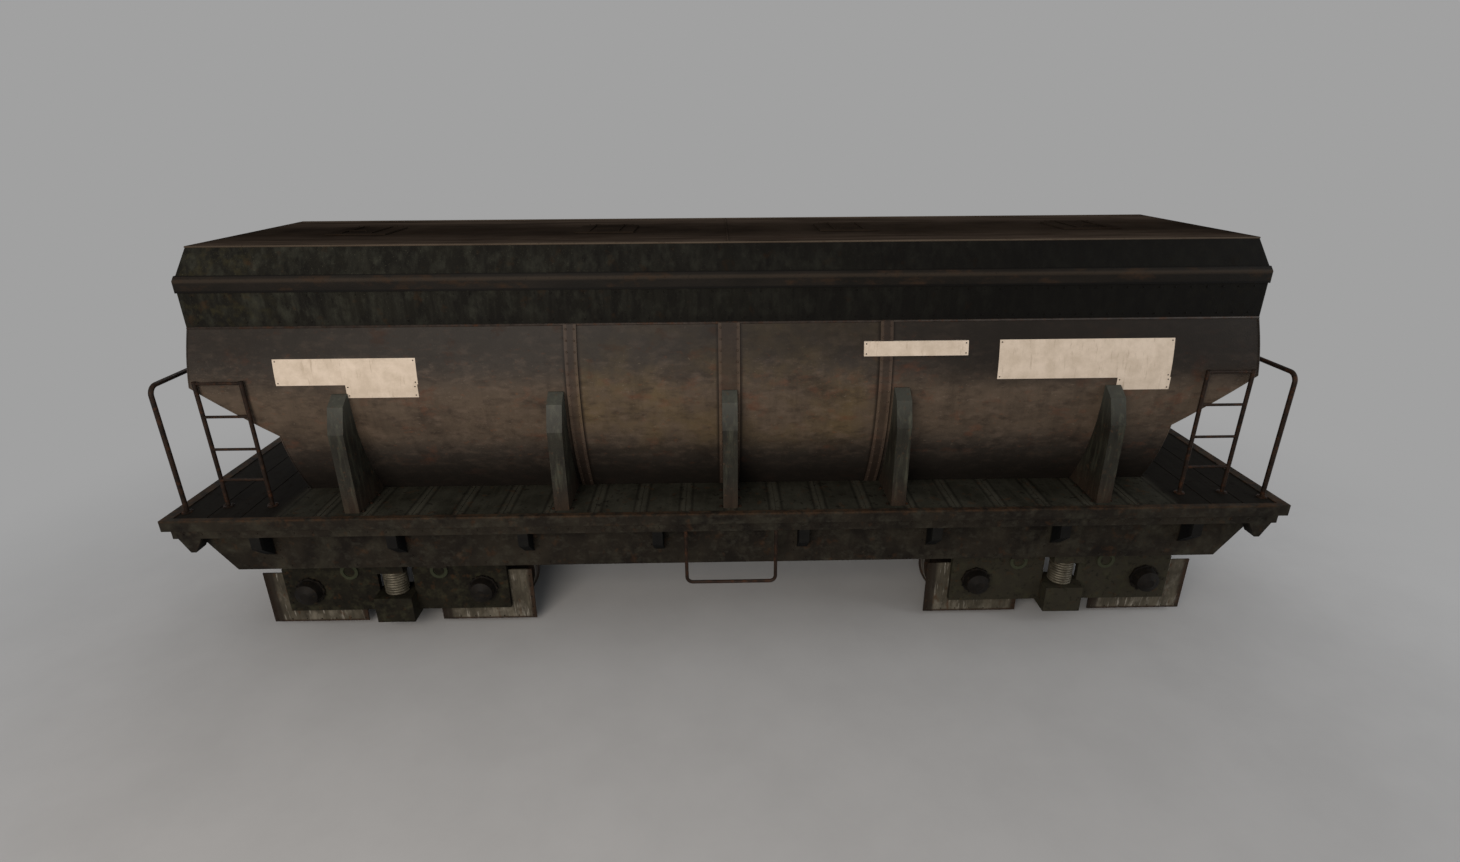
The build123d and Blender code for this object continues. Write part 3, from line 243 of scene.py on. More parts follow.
def hood_paint():
    """Dark grey-green paint on pressed sheet, chalky, with fine runs of soot and small chips down to rust,
    and painted shade that deepens toward the +x end.
    """
    f = Finish("chalky_dark_green_paint", "#171610", "#0e0d0a", 420, squat)
    f.patch("#33342c", 120, 0.48, 0.68, 0.6, squat, (1, 6, 3))
    f.patch("#0a0907", 75, 0.5, 0.66, 0.6, (1, 1, 0.45), (8, 0, 2))
    f.lay("#2e2e27", f.mottle(85, 0.46, 0.7, upright), 0.42)
    f.lay("#0b0a08", f.mottle(60, 0.48, 0.7, upright, (5, 3, 1)), 0.45)
    f.patch("#4b4a3c", 14, 0.62, 0.7, 0.5, shift=(2, 0, 4))
    ends = f.step(f.away(f.x), 3.9, 4.6)
    f.lay("#35311d", f.both(ends, f.mottle(90, 0.48, 0.66)), 0.4)
    f.patch("#352618", 150, 0.6, 0.72, 0.45, rougher=0.12)
    f.lay("#0c0a08", f.step(f.z, 3.50, 3.385), 0.4)
    # Painted shade, deepening from the -x end toward the +x end.
    f.lay("#050403", f.step(f.x, -4.8, 3.8), 0.88)
    return f.made(0.72, grain=1.2, depth=0.3, specular=0.1)


def roof_paint():
    """Near-black brown bitumen paint on flat sheet, without any gloss, lighter toward its edges with streaks
    of dust and a painted sheen.
    """
    f = Finish("bitumen_roof_paint", "#2a231d", "#1b1612", 900)
    # Lighter toward both long edges: streaks of dust with a painted sheen.
    across = f.away(f.y)
    streaks = f.mottle(160, 0.3, 0.62, (0.12, 1, 1), (0, 3, 0))
    f.lay("#4c4138", f.both(f.step(across, 0.15, 1.0), streaks), 0.75)
    f.lay("#5a5045", f.step(across, 1.015, 1.045), 0.6)
    f.patch("#1c1510", 420, 0.52, 0.72, 0.5, (0.35, 1, 1))
    f.patch("#2b1d12", 90, 0.6, 0.7, 0.4, (0.4, 1, 1), (4, 4, 0))
    f.patch("#090806", 24, 0.6, 0.7, 0.5, (0.5, 1, 1))
    return f.made(1.0, grain=1.5, depth=0.35, specular=0.0)


def waist_paint():
    """Brown paint on a folded rain strip, with a painted highlight along the fold and painted shade as black
    lines in the gaps at both its edges.
    """
    f = Finish("olive_brown_strip_paint", "#1a1612", "#100e0b", 260, (0.4, 1, 1))
    # Painted highlight along the fold.
    fold = f.both(f.step(f.z, 3.79, 3.812), f.step(f.z, 3.845, 3.82))
    f.lay("#43392f", fold, 0.32)
    f.patch("#3a291b", 110, 0.54, 0.7, 0.45, (0.4, 1, 1), rougher=0.12)
    # Painted shade: black lines in the gaps along both edges of the strip.
    f.lay("#060504", f.step(f.z, waist[0].z + 0.026, waist[0].z + 0.012), 0.92)
    f.lay("#060504", f.step(f.z, waist[1].z - 0.012, waist[1].z - 0.004), 0.92)
    f.patch("#0d0b09", 24, 0.58, 0.68, 0.55)
    return f.made(0.6, grain=1.2, depth=0.3, specular=0.1)


def deck_paint():
    """Dark worn deck plate, trodden grey along the middle and rusty at each joint."""
    f = Finish("trodden_deck_plate", "#32312a", "#22211b", 330)
    f.lay("#38362e", f.mottle(70, 0.5, 0.7, (1, 0.15, 1)), 0.55)
    links = {0: f.x, 1: plate_pitch / 2}
    joint = node(f.tree, "ShaderNodeMath", {"operation": "PINGPONG"}, links).outputs[0]
    pale = f.both(f.step(joint, 0.05, 0.03), f.mottle(200, 0.3, 0.5, (1, 0.3, 1)))
    f.lay("#45433a", pale, 0.32)
    f.lay("#0c0a08", f.both(f.step(joint, 0.085, 0.065), f.step(joint, 0.045, 0.06)), 0.5)
    f.patch("#100d0a", 60, 0.58, 0.68, 0.75, shift=(2, 7, 0), rougher=0.15)
    f.patch("#3f2a19", 120, 0.58, 0.72, 0.55, shift=(1, 3, 5), rougher=0.15)
    f.lay("#120f0c", f.step(f.away(f.x), 4.38, 4.5), 0.9)
    return f.made(0.78, grain=1.6, depth=0.4, specular=0.05)


def underframe_paint():
    """Mottled olive and brown paint on rolled channel, dusty below and rusty along its edges."""
    f = Finish("mottled_underframe_paint", "#24201a", "#15120f", 420)
    f.patch("#38362d", 220, 0.5, 0.7, 0.5, shift=(3, 0, 1))
    f.patch("#402b1b", 130, 0.58, 0.72, 0.45, shift=(7, 2, 2), rougher=0.14)
    f.patch("#403f37", 60, 0.52, 0.72, 0.3, (0.7, 1, 1), (1, 4, 8))
    f.lay("#0e0c0a", f.mottle(90, 0.5, 0.74, upright), 0.35)
    lip_edge = f.step(f.z, lip_top - 0.03, lip_top - 0.004)
    f.lay("#45301f", f.both(lip_edge, f.mottle(90, 0.4, 0.6)), 0.45)
    f.patch("#5a5446", 12, 0.68, 0.74, 0.25)
    out = f.away(f.y)
    under = f.both(f.step(out, sill_face + 0.008, sill_face + 0.02), f.step(out, 1.575, 1.55))
    f.lay("#080706", f.both(under, f.step(f.z, 1.40, 1.38)), 0.75)
    low = f.both(f.step(f.z, fascia_bottom, fascia_bottom - 0.006), f.step(f.away(f.x), 5.1, 5.0))
    outriggers = f.both(f.step(out, sill_face + 0.02, sill_face + 0.03), low)
    f.lay("#0c0d0e", outriggers, 0.8)
    return f.made(0.68, grain=1.5, depth=0.35, specular=0.08)


def saddle_paint():
    """Grey-green paint on a pressed bracket, with pale streaks and a painted highlight toward its top, its
    foot brown with rust.
    """
    f = Finish("grey_green_bracket_paint", "#272620", "#1c1b17", 260)
    f.lay("#4c4d40", f.mottle(50, 0.5, 0.7, upright), 0.5)
    f.lay("#2e2118", f.step(f.z, 1.95, 1.62), 0.6, 0.2)
    f.lay("#17130f", f.mottle(60, 0.5, 0.68, upright, (4, 0, 2)), 0.5)
    # Painted highlight toward the top of each bracket.
    f.lay("#4f514b", f.step(f.z, 2.3, 2.72), 0.42)
    f.patch("#4a3626", 40, 0.58, 0.7, 0.45, shift=(2, 6, 1))
    return f.made(0.5, grain=1.3, depth=0.3)


def bogie_steel():
    """Dark olive cast steel of the side frames, oily and dusty, greenish at the ring bosses, with painted
    light toward the front bogie.
    """
    f = Finish("oily_olive_cast_steel", "#1e1c15", "#13110d", 260)
    # Painted light: the frames are made lighter toward the front (+x) bogie.
    f.lay("#36332a", f.step(f.x, -1.0, 3.0), 0.5)
    f.patch("#323124", 110, 0.5, 0.68, 0.55, shift=(3, 0, 1))
    f.patch("#3c2817", 80, 0.58, 0.7, 0.5, shift=(1, 1, 5), rougher=0.12)
    f.patch("#0b0a08", 50, 0.55, 0.68, 0.6, shift=(6, 2, 0))
    away = f.away_from_round(boss_offset, boss_height)
    f.lay("#363b2c", f.both(f.step(away, 0.1, 0.09), f.step(away, 0.05, 0.065)), 0.6)
    return f.made(0.65, grain=2.2, depth=0.5, specular=0.08)


def cap_iron():
    """Near-black greasy iron of the axle box covers, with a slight wet shine."""
    f = Finish("greasy_black_iron", "#15120f", "#0d0b09", 120)
    f.patch("#2b2217", 45, 0.56, 0.7, 0.6, rougher=0.2)
    return f.made(0.6, grain=2.0, depth=0.4, specular=0.12)


def guard_paint():
    """Pale paint on flat guard plate, streaked by rain and brown with rust round its border."""
    f = Finish("streaked_pale_guard_paint", "#4f4a3f", "#343028", 160, (1, 1, 0.5))
    f.lay("#37332b", f.mottle(40, 0.44, 0.66, hanging), 0.8)
    f.patch("#857f73", 170, 0.52, 0.7, 0.42, squat, (3, 0, 4))
    f.lay("#b4afa4", f.mottle(30, 0.58, 0.72, hanging, (3, 0, 0)), 0.55)
    side = f.away(f.away(f.away(f.x), pivot), half_wheelbase)
    worn = f.mottle(45, 0.3, 0.6)
    rims = {0: f.step(side, 0.44, 0.49), 1: f.step(f.z, 0.090, 0.066)}
    edge = node(f.tree, "ShaderNodeMath", {"operation": "MAXIMUM"}, rims).outputs[0]
    f.lay("#19130e", edge, 0.9, 0.2)
    f.lay("#4b2f1b", f.both(edge, worn), 0.25)
    for wheel in [bogie * pivot + end * half_wheelbase for bogie in both_sides for end in both_sides]:
        band = f.both(f.step(f.x, wheel - 0.39, wheel - 0.43), f.step(f.x, wheel - 0.6, wheel - 0.55))
        f.lay("#1d1712", band, 0.85, 0.2)
    f.patch("#3c2817", 60, 0.6, 0.7, 0.7, (1, 1, 0.4), rougher=0.15)
    return f.made(0.5, grain=1.2, depth=0.3)


def spring_steel():
    """Oil-darkened spring steel, rubbed bright on the outer face of each coil."""
    f = Finish("rubbed_spring_steel", "#5d584b", "#3b372d", 90)
    f.patch("#24170e", 40, 0.56, 0.68, 0.6, rougher=0.2)
    return f.made(0.42, 0.3, grain=1.0, depth=0.15, specular=0.3)


def wheel_steel():
    """Rolled wheel steel: brown oxide on the plate and a bright tread polished by the rail."""
    f = Finish("rolled_wheel_steel", "#2e241c", "#1f1812", 150)
    away = f.away_from_round(half_wheelbase, axle_height)
    f.lay("#625d56", f.both(f.step(away, 0.470, 0.474), f.step(away, 0.482, 0.477)), 0.9, -0.2)
    f.patch("#4a2f1c", 60, 0.56, 0.7, 0.6, shift=(2, 0, 3))
    return f.made(0.52, 0.35, grain=1.5, depth=0.2, specular=0.4)


def rusty_steel(name, base, second):
    """Bare or thinly painted steel bar and tube, brown-black with rust in its pits."""
    f = Finish(name, base, second, 90)
    f.patch("#4a2c18", 60, 0.52, 0.68, 0.6, rougher=0.15)
    f.patch("#0c0a08", 20, 0.56, 0.7, 0.5)
    return f.made(0.5, 0.2, grain=1.6, depth=0.3)


def hopper_steel():
    """Dusty sheet steel of the funnels, pale with dried grain dust in its scratches."""
    f = Finish("dusty_funnel_sheet", "#39332b", "#28231d", 500)
    f.patch("#5f5443", 60, 0.52, 0.72, 0.45, upright)
    f.patch("#4a2f1b", 180, 0.58, 0.7, 0.6, shift=(2, 5, 1), rougher=0.15)
    return f.made(0.55, grain=1.3, depth=0.3)


def sign_paint():
    """Bare beige sign paint, a little dirty, with brown runs below its screws."""
    f = Finish("bare_beige_sign_paint", "#c9bbab", "#b9ab9a", 130)
    f.patch("#8f7f6c", 30, 0.58, 0.74, 0.5, upright)
    f.patch("#a3937f", 12, 0.62, 0.72, 0.5, shift=(1, 2, 3))
    return f.made(0.55, grain=1.0, depth=0.12)


finishes = {
    "axle_steel": rusty_steel("forged_axle_steel", "#2a211a", "#1c1611"),
    "wheel_steel": wheel_steel(),
    "axle_box_iron": cap_iron(),
    "side_frame_steel": bogie_steel(),
    "spring_steel": spring_steel(),
    "guard_paint": guard_paint(),
    "brake_steel": rusty_steel("brake_bar_steel", "#261e18", "#17120e"),
    "underframe_paint": underframe_paint(),
    "deck_paint": deck_paint(),
    "body_paint": barrel_paint(),
    "hood_paint": hood_paint(),
    "roof_paint": roof_paint(),
    "waist_paint": waist_paint(),
    "saddle_paint": saddle_paint(),
    "rail_steel": rusty_steel("rusty_rail_tube", "#2a1f18", "#19130f"),
    "coupler_iron": rusty_steel("rusty_coupler_iron", "#221a15", "#14100d"),
    "hopper_steel": hopper_steel(),
    "reservoir_paint": underframe_paint(),
}
sign_finish = sign_paint()
# The rolled lip is paler than the sheet round it: rubbed wear and a painted highlight.
lip_finish = rusty_steel("rubbed_lip_paint", "#3c3530", "#2d2723")
for row in frame["record"]["subparts"]:
    worn = nodes[row["node"]]
    worn.data.materials.clear()
    worn.data.materials.append(finishes[row["material_slot"]])

# How the small pieces are made


def growing(name, inputs):
    """A new geometry tree with named inputs, and the sockets that carry them."""
    tree = bpy.data.node_groups.new(name, "GeometryNodeTree")
    tree.interface.new_socket("Geometry", in_out="INPUT", socket_type="NodeSocketGeometry")
    for label in inputs:
        tree.interface.new_socket(label, in_out="INPUT", socket_type="NodeSocketFloat")
    tree.interface.new_socket("Finish", in_out="INPUT", socket_type="NodeSocketMaterial")
    tree.interface.new_socket("Geometry", in_out="OUTPUT", socket_type="NodeSocketGeometry")
    return tree, node(tree, "NodeGroupInput").outputs


def coated(tree, sockets, made):
    """Ends a tree: what it made becomes plain faces with their finish."""
    real = node(tree, "GeometryNodeRealizeInstances", {}, {0: made})
    links = {"Geometry": real.outputs[0], "Material": sockets["Finish"]}
    done = node(tree, "GeometryNodeSetMaterial", {}, links)
    node(tree, "NodeGroupOutput", {}, {0: done.outputs[0]})
    return tree


def standing(tree, sockets, made):
    """One of what is made on each point of the start, upright."""
    links = {"Points": sockets["Geometry"], "Instance": made}
    return node(tree, "GeometryNodeInstanceOnPoints", {}, links).outputs[0]


def swept(tree, line, radius, corners):
    """A smooth round bar along a line, with closed ends."""
    ring = node(tree, "GeometryNodeCurvePrimitiveCircle", {"Resolution": corners}, {"Radius": radius})
    links = {"Curve": line, "Profile Curve": ring.outputs[0]}
    bar = node(tree, "GeometryNodeCurveToMesh", {"Fill Caps": True}, links)
    return node(tree, "GeometryNodeSetShadeSmooth", {}, {"Geometry": bar.outputs[0]}).outputs[0]


def facing_points(tree, sockets, made):
    """One of what is made on each point of the start, its own Z along the way the point faces."""
    facing = node(tree, "GeometryNodeInputNamedAttribute", {"data_type": "FLOAT_VECTOR", "Name": "facing"})
    turn = node(tree, "FunctionNodeAlignRotationToVector", {}, {"Vector": facing.outputs[0]})
    links = {"Points": sockets["Geometry"], "Instance": made, "Rotation": turn.outputs[0]}
    return node(tree, "GeometryNodeInstanceOnPoints", {}, links).outputs[0]


def rivet_tree():
    """Round rivet heads, half of each ball sunk in the sheet."""
    tree, sockets = growing("rivet_heads", ["Head Diameter", "Head Height"])
    ball = node(tree, "GeometryNodeMeshUVSphere", {"Segments": 8, "Rings": 6, "Radius": 0.5})
    tall = share_of(tree, sockets["Head Height"], 2.0)
    wide = sockets["Head Diameter"]
    size = node(tree, "ShaderNodeCombineXYZ", {}, {0: wide, 1: wide, 2: tall})
    head = node(tree, "GeometryNodeTransform", {}, {"Geometry": ball.outputs[0], "Scale": size.outputs[0]})
    smooth = node(tree, "GeometryNodeSetShadeSmooth", {}, {"Geometry": head.outputs[0]})
    return coated(tree, sockets, facing_points(tree, sockets, smooth.outputs[0]))


def bolt_tree():
    """Six-sided bolt heads, each on its washer."""
    tree, sockets = growing("bolt_heads", ["Across", "Head Height"])
    radius = share_of(tree, sockets["Across"], 0.56)
    top = share_of(tree, sockets["Across"], 0.5)
    washer = share_of(tree, sockets["Across"], 0.85)
    thin = share_of(tree, sockets["Head Height"], 0.3)
    links = {"Radius Top": top, "Radius Bottom": radius, "Depth": sockets["Head Height"]}
    head = node(tree, "GeometryNodeMeshCone", {"Vertices": 6}, links)
    links = {"Radius Top": washer, "Radius Bottom": washer, "Depth": thin}
    ring = node(tree, "GeometryNodeMeshCone", {"Vertices": 12}, links)
    pair = node(tree, "GeometryNodeJoinGeometry")
    for part in (head, ring):
        tree.links.new(part.outputs[0], pair.inputs[0])
    return coated(tree, sockets, facing_points(tree, sockets, pair.outputs[0]))


def board_tree():
    """Deck plates of one size, one on each point."""
    tree, sockets = growing("deck_plates", ["Along", "Wide", "Thick"])
    links = {0: sockets["Along"], 1: sockets["Wide"], 2: sockets["Thick"]}
    size = node(tree, "ShaderNodeCombineXYZ", {}, links)
    plate = node(tree, "GeometryNodeMeshCube", {}, {"Size": size.outputs[0]})
    return coated(tree, sockets, standing(tree, sockets, plate.outputs[0]))


def coil_tree():
    """Coil springs standing on their points."""
    tree, sockets = growing("coil_springs", ["Turns", "Coil Radius", "Height", "Wire Radius"])
    links = {"Rotations": sockets["Turns"], "Height": sockets["Height"]}
    links.update({"Start Radius": sockets["Coil Radius"], "End Radius": sockets["Coil Radius"]})
    line = node(tree, "GeometryNodeCurveSpiral", {"Resolution": 20}, links)
    coil = swept(tree, line.outputs[0], sockets["Wire Radius"], 10)
    return coated(tree, sockets, standing(tree, sockets, coil))


def bead_tree():
    """Round beads of weld or rolled edge along the lines of the start."""
    tree, sockets = growing("beads", ["Bead Radius"])
    line = node(tree, "GeometryNodeMeshToCurve", {}, {"Mesh": sockets["Geometry"]})
    return coated(tree, sockets, swept(tree, line.outputs[0], sockets["Bead Radius"], 8))


rivets, bolts, boards, coils, beads = rivet_tree(), bolt_tree(), board_tree(), coil_tree(), bead_tree()


def linked(name, mesh, body):
    """An object of a finished mesh that rides on its body."""
    piece = bpy.data.objects.new(name, mesh)
    bpy.context.scene.collection.objects.link(piece)
    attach(piece, body)
    return piece


def grown(name, tree, start, body, slot, finish=None, **sizes):
    """The plain mesh that a geometry tree grows from a start mesh. Sizes are the tree's own inputs."""
    seed = bpy.data.objects.new(name, start)
    bpy.context.scene.collection.objects.link(seed)
    growth = seed.modifiers.new("growth", "NODES")
    growth.node_group = tree
    taken = [item for item in tree.interface.items_tree if item.in_out == "INPUT"]
    sockets = {item.name.replace(" ", "_").lower(): item.identifier for item in taken}
    for label, value in dict(sizes, finish=finish or finishes[slot]).items():
        growth[sockets[label]] = value
    ready = bpy.context.evaluated_depsgraph_get()
    mesh = bpy.data.meshes.new_from_object(seed.evaluated_get(ready), depsgraph=ready)
    seed.modifiers.clear()
    bpy.data.objects.remove(seed)
    return linked(name, mesh, body)


def points(places):
    """A start mesh of points. Each place is a point, or a point and the way it faces."""
    mesh = bpy.data.meshes.new("points")
    pairs = [p if hasattr(p[0], "__len__") else (p, (0, 0, 1)) for p in places]
    mesh.from_pydata([tuple(p) for p, _ in pairs], [], [])
    facing = mesh.attributes.new("facing", "FLOAT_VECTOR", "POINT")
    facing.data.foreach_set("vector", [c for _, way in pairs for c in way])
    return mesh


def lines(paths):
    """A start mesh of open lines. A path that ends where it starts is closed."""
    corners, edges = [], []
    for path in paths:
        first = len(corners)
        closed = tuple(path[0]) == tuple(path[-1])
        own = path[:-1] if closed else path
        corners += own
        edges += [(first + i, first + i + 1) for i in range(len(own) - 1)]
        if closed:
            edges.append((len(corners) - 1, first))
    mesh = bpy.data.meshes.new("lines")
    mesh.from_pydata(corners, edges, [])
    return mesh


def spaced(start, end, pitch):
    """Even places from start to end, about a pitch apart."""
    count = max(1, round(abs(end - start) / pitch))
    return [start + (end - start) * i / count for i in range(count + 1)]


def barrel_point(x, height, side, proud=0.0):
    """A point on the curved side and the way it faces."""
    reach = belly_reach(height, proud)
    across = (reach - belly_half + belly_radius) / (belly_radius + proud)
    up = (height - belly_height) / (belly_radius + proud)
    return (x, side * reach, height), (0, side * across, up)


def plate_on_barrel(name, rects, finish):
    """Sheet plates on the curved side. Each rect is side, start, end, bottom, top and its thickness."""
    corners, faces = [], []
    for side, x0, x1, z0, z1, thickness in rects:
        along, up = spaced(x0, x1, 0.25), spaced(z0, z1, 0.04)
        layers = []
        for proud in (0.0, thickness):
            base = len(corners)
            corners += [barrel_point(x, z, side, proud)[0] for z in up for x in along]
            layers.append(base)
        wide, tall = len(along), len(up)
        for row in range(tall - 1):
            for i in range(wide - 1):
                a = row * wide + i
                ring = (a, a + 1, a + wide + 1, a + wide)
                faces += [tuple(layers[1] + k for k in ring), tuple(layers[0] + k for k in ring)]
        rim = list(range(wide)) + [row * wide + wide - 1 for row in range(1, tall)]
        rim += [(tall - 1) * wide + i for i in range(wide - 2, -1, -1)]
        rim += [row * wide for row in range(tall - 2, 0, -1)]
        for a, b in zip(rim, rim[1:] + rim[:1]):
            faces.append((layers[0] + a, layers[0] + b, layers[1] + b, layers[1] + a))
    mesh = bpy.data.meshes.new(name)
    mesh.from_pydata(corners, [], faces)
    outward(mesh)
    mesh.materials.append(finish)
    return linked(name, mesh, "car_body")


def outward(mesh):
    """Turns every face of a closed mesh outwards."""
    form = bmesh.new()
    form.from_mesh(mesh)
    bmesh.ops.recalc_face_normals(form, faces=form.faces)
    form.to_mesh(mesh)
    form.free()


def discs(name, places, radius, thickness, body, slot):
    """Round flanges with a chamfered edge. Each place is a point and the way it faces."""
    form = bmesh.new()
    for place, way in places:
        turn = Vector(way).to_track_quat("Z", "Y").to_matrix().to_4x4()
        for level, share in ((0.35, 1.0), (0.85, 0.93)):
            put = Matrix.Translation(Vector(place) + Vector(way) * thickness * level) @ turn
            size = {"radius1": radius * share, "radius2": radius * share, "depth": thickness * 0.7}
            bmesh.ops.create_cone(form, cap_ends=True, segments=20, matrix=put, **size)
    mesh = bpy.data.meshes.new(name)
    form.to_mesh(mesh)
    form.free()
    mesh.materials.append(finishes[slot])
    return linked(name, mesh, body)


def loop(half_length, half_width, height):
    """A closed level line round the car."""
    corners = ((-1, -1), (1, -1), (1, 1), (-1, 1), (-1, -1))
    return [(x * half_length, y * half_width, height) for x, y in corners]


# Sheet work on the body

flat, raised = 0.003, strap_proud + 0.003
sign_rects = (
    (-4.310, -2.970, 2.837, 3.090, flat),
    (-3.660, -2.980, 2.708, 2.837, flat),
    (2.585, 4.270, 2.823, 3.200, flat),
    (3.760, 4.280, 2.700, 2.823, flat),
    (1.283, 2.280, 3.062, 3.200, raised),
)
signs = [(-1, *rect) for rect in sign_rects]
signs += [(1, -rect[1], -rect[0], *rect[2:]) for rect in sign_rects]
plate_on_barrel("blank_sign_panels", signs, sign_finish)

screw_inset = 0.022
screws = [
    barrel_point(x, z, side, out)
    for side, x0, x1, z0, z1, out in signs
    for x in (x0 + screw_inset, x1 - screw_inset)
    for z in (z0 + screw_inset, z1 - screw_inset)
]
grown(
    "sign_screws", rivets, points(screws), "car_body", "waist_paint",
    head_diameter=0.014, head_height=0.004,
)

# Rivets down both edges of each strap, but none under the small sign that lies over one of them
strap_rivet_inset = 0.022
covered_bottom, covered_top = 3.04, 3.22
strap_rivets = [
    barrel_point(middle + way * (half - strap_rivet_inset), z, side, strap_proud)
    for side in both_sides
    for middle, half in straps
    for way in both_sides
    for z in spaced(1.66, 3.34, 0.105)
    if middle * side >= 0 or not covered_bottom < z < covered_top
]
grown(
    "strap_rivets", rivets, points(strap_rivets), "car_body", "body_paint",
    head_diameter=0.022, head_height=0.008,
)

# A rolled lip runs all round under the hood, and welds close the corners of the barrel
lip_z = hood_bottom - 0.006
hood_half = belly_reach(hood_bottom)
lip_path = loop(body_end, hood_half, lip_z)
grown("rolled_lip", beads, lines([lip_path]), "car_body", "body_paint", lip_finish, bead_radius=0.013)
weld_pitch = 0.08


def corner_line(end, side):
    """The edge where a side meets an end wall, from the hood down to the deck."""
    levels = spaced(hood_bottom - 0.02, slope_top, weld_pitch)
    flare = (knee_reach - body_end) / (hood_bottom - slope_top)
    upper = [(end * (knee_reach - flare * (z - slope_top)), side * belly_reach(z), z) for z in levels]
    rate = (knee_reach - body_foot) / (slope_top - slope_bottom)
    fall = [
        (end * (body_foot + rate * (z - slope_bottom)), side * belly_reach(z), z)
        for z in spaced(slope_top, slope_bottom, weld_pitch)[1:]
    ]
    foot = [
        (end * body_foot, side * belly_reach(z), z)
        for z in spaced(slope_bottom, deck_top, weld_pitch)[1:]
    ]
    return upper + fall + foot


welds = [corner_line(end, side) for end in both_sides for side in both_sides]
for end in both_sides:
    for place, height in ((knee_reach, slope_top), (body_foot, slope_bottom)):
        reach = belly_reach(height)
        welds.append([(end * place, -reach, height), (end * place, reach, height)])
grown("corner_welds", beads, lines(welds), "car_body", "body_paint", bead_radius=0.007)

# Two rows of rivets round the hood, and welds across the middle of the roof and round its edge
hood_rows = (hood_bottom + 0.045, waist[0].z - 0.03)
hood_pitch = 0.15
hood_rivets = [
    ((x, side * hood_half, z), (0, side, 0))
    for side in both_sides
    for x in spaced(-4.95, 4.95, hood_pitch)
    for z in hood_rows
]
hood_rivets += [
    ((end * body_end, y, z), (end, 0, 0))
    for end in both_sides
    for y in spaced(-1.05, 1.05, hood_pitch)
    for z in hood_rows
]
grown(
    "hood_rivets", rivets, points(hood_rivets), "car_body", "hood_paint",
    head_diameter=0.020, head_height=0.007,
)

seam_height = roof_top + 0.003
seam_half = roof_half - 0.02
seam = [(0.0, -seam_half, seam_height), (0.0, seam_half, seam_height)]
roof_edge = loop(roof_end, roof_half, roof_top)
grown("roof_seams", beads, lines([seam, roof_edge]), "car_body", "roof_paint", bead_radius=0.009)

# Deck plates with open joints, side decks and end decks
plate_gap = 0.012
plate_rise = 0.005
plate_start = belly_reach(deck_top) + plate_gap
lip_width = 0.066
plate_end = lip_reach - lip_width
plate_wide = plate_end - plate_start
side_count = 20
side_plates = [
    ((i + 0.5 - side_count / 2) * plate_pitch, side * (plate_start + plate_end) / 2, deck_top)
    for i in range(side_count)
    for side in both_sides
]
grown(
    "side_deck_plates", boards, points(side_plates), "car_body", "deck_paint",
    along=plate_pitch - plate_gap, wide=plate_wide, thick=2 * plate_rise,
)
end_pitch = 0.327
end_plate_start = 4.620
end_plate_places = [end_plate_start + i * end_pitch for i in range(3)]
end_plates = [(end * x, 0.0, deck_top) for end in both_sides for x in end_plate_places]
grown(
    "end_deck_plates", boards, points(end_plates), "car_body", "deck_paint",
    along=end_pitch - plate_gap, wide=2 * plate_end, thick=2 * plate_rise,
)
screw_along, screw_across = plate_pitch / 2 - 0.04, plate_wide / 2 - 0.035
deck_screws = [
    (x + way * screw_along, y + side * screw_across, deck_top + plate_rise)
    for x, y, _ in side_plates
    for way in both_sides
    for side in both_sides
]
grown(
    "deck_screws", rivets, points(deck_screws), "car_body", "rail_steel",
    head_diameter=0.018, head_height=0.003,
)

# Rivets of the fascia and of the sill below it
rim_face, rim_row = 1.600, 1.436
sill_row = sill_bottom + 0.04
beside_outrigger = 0.09
frame_rivets = [
    ((x, side * rim_face, rim_row), (0, side, 0))
    for side in both_sides
    for x in spaced(-5.35, 5.35, 0.178)
]
frame_rivets += [
    ((x + way * beside_outrigger, side * sill_face, z), (0, side, 0))
    for side in both_sides
    for x in outrigger_places
    for way in both_sides
    for z in (1.31, 1.22, 1.13, 1.04)
]
frame_rivets += [
    ((x, side * sill_face, sill_row), (0, side, 0))
    for side in both_sides
    for x in spaced(-4.95, 4.95, 0.22)
]
grown(
    "frame_rivets", rivets, points(frame_rivets), "car_body", "underframe_paint",
    head_diameter=0.024, head_height=0.009,
)

# Square pressed heads of the brackets, a sheet thicker than the brackets themselves
saddle_half, saddle_reach, saddle_skin = 0.0715, 1.500, 0.002
head_foot, head_shoulder, shoulder_inset = 2.416, 2.663, 0.096
head_rest, head_sunk = 0.018, 0.004
head_corners, head_faces = [], []
for place in saddle_places:
    for side in both_sides:
        proud = strap_proud if place == 0 else 0.0
        rest = belly_reach(belly_height, proud)
        outline = [
            (saddle_reach + saddle_skin, head_foot),
            (saddle_reach - shoulder_inset + saddle_skin, head_shoulder),
            (rest + head_rest + saddle_skin, belly_height + saddle_skin),
            (rest - head_sunk, belly_height + saddle_skin),
            (belly_reach(head_foot, proud) - head_sunk, head_foot),
        ]
        first = len(head_corners)
        for x in (place - saddle_half - saddle_skin, place + saddle_half + saddle_skin):
            head_corners += [(x, side * y, z) for y, z in outline]
        count = len(outline)
        head_faces += [list(range(first, first + count)), list(range(first + count, first + 2 * count))]
        for i in range(count):
            after = (i + 1) % count
            head_faces.append([first + i, first + after, first + count + after, first + count + i])
heads = bpy.data.meshes.new("saddle_heads")
heads.from_pydata(head_corners, [], head_faces)
outward(heads)
heads.materials.append(finishes["saddle_paint"])
linked("saddle_heads", heads, "car_body")

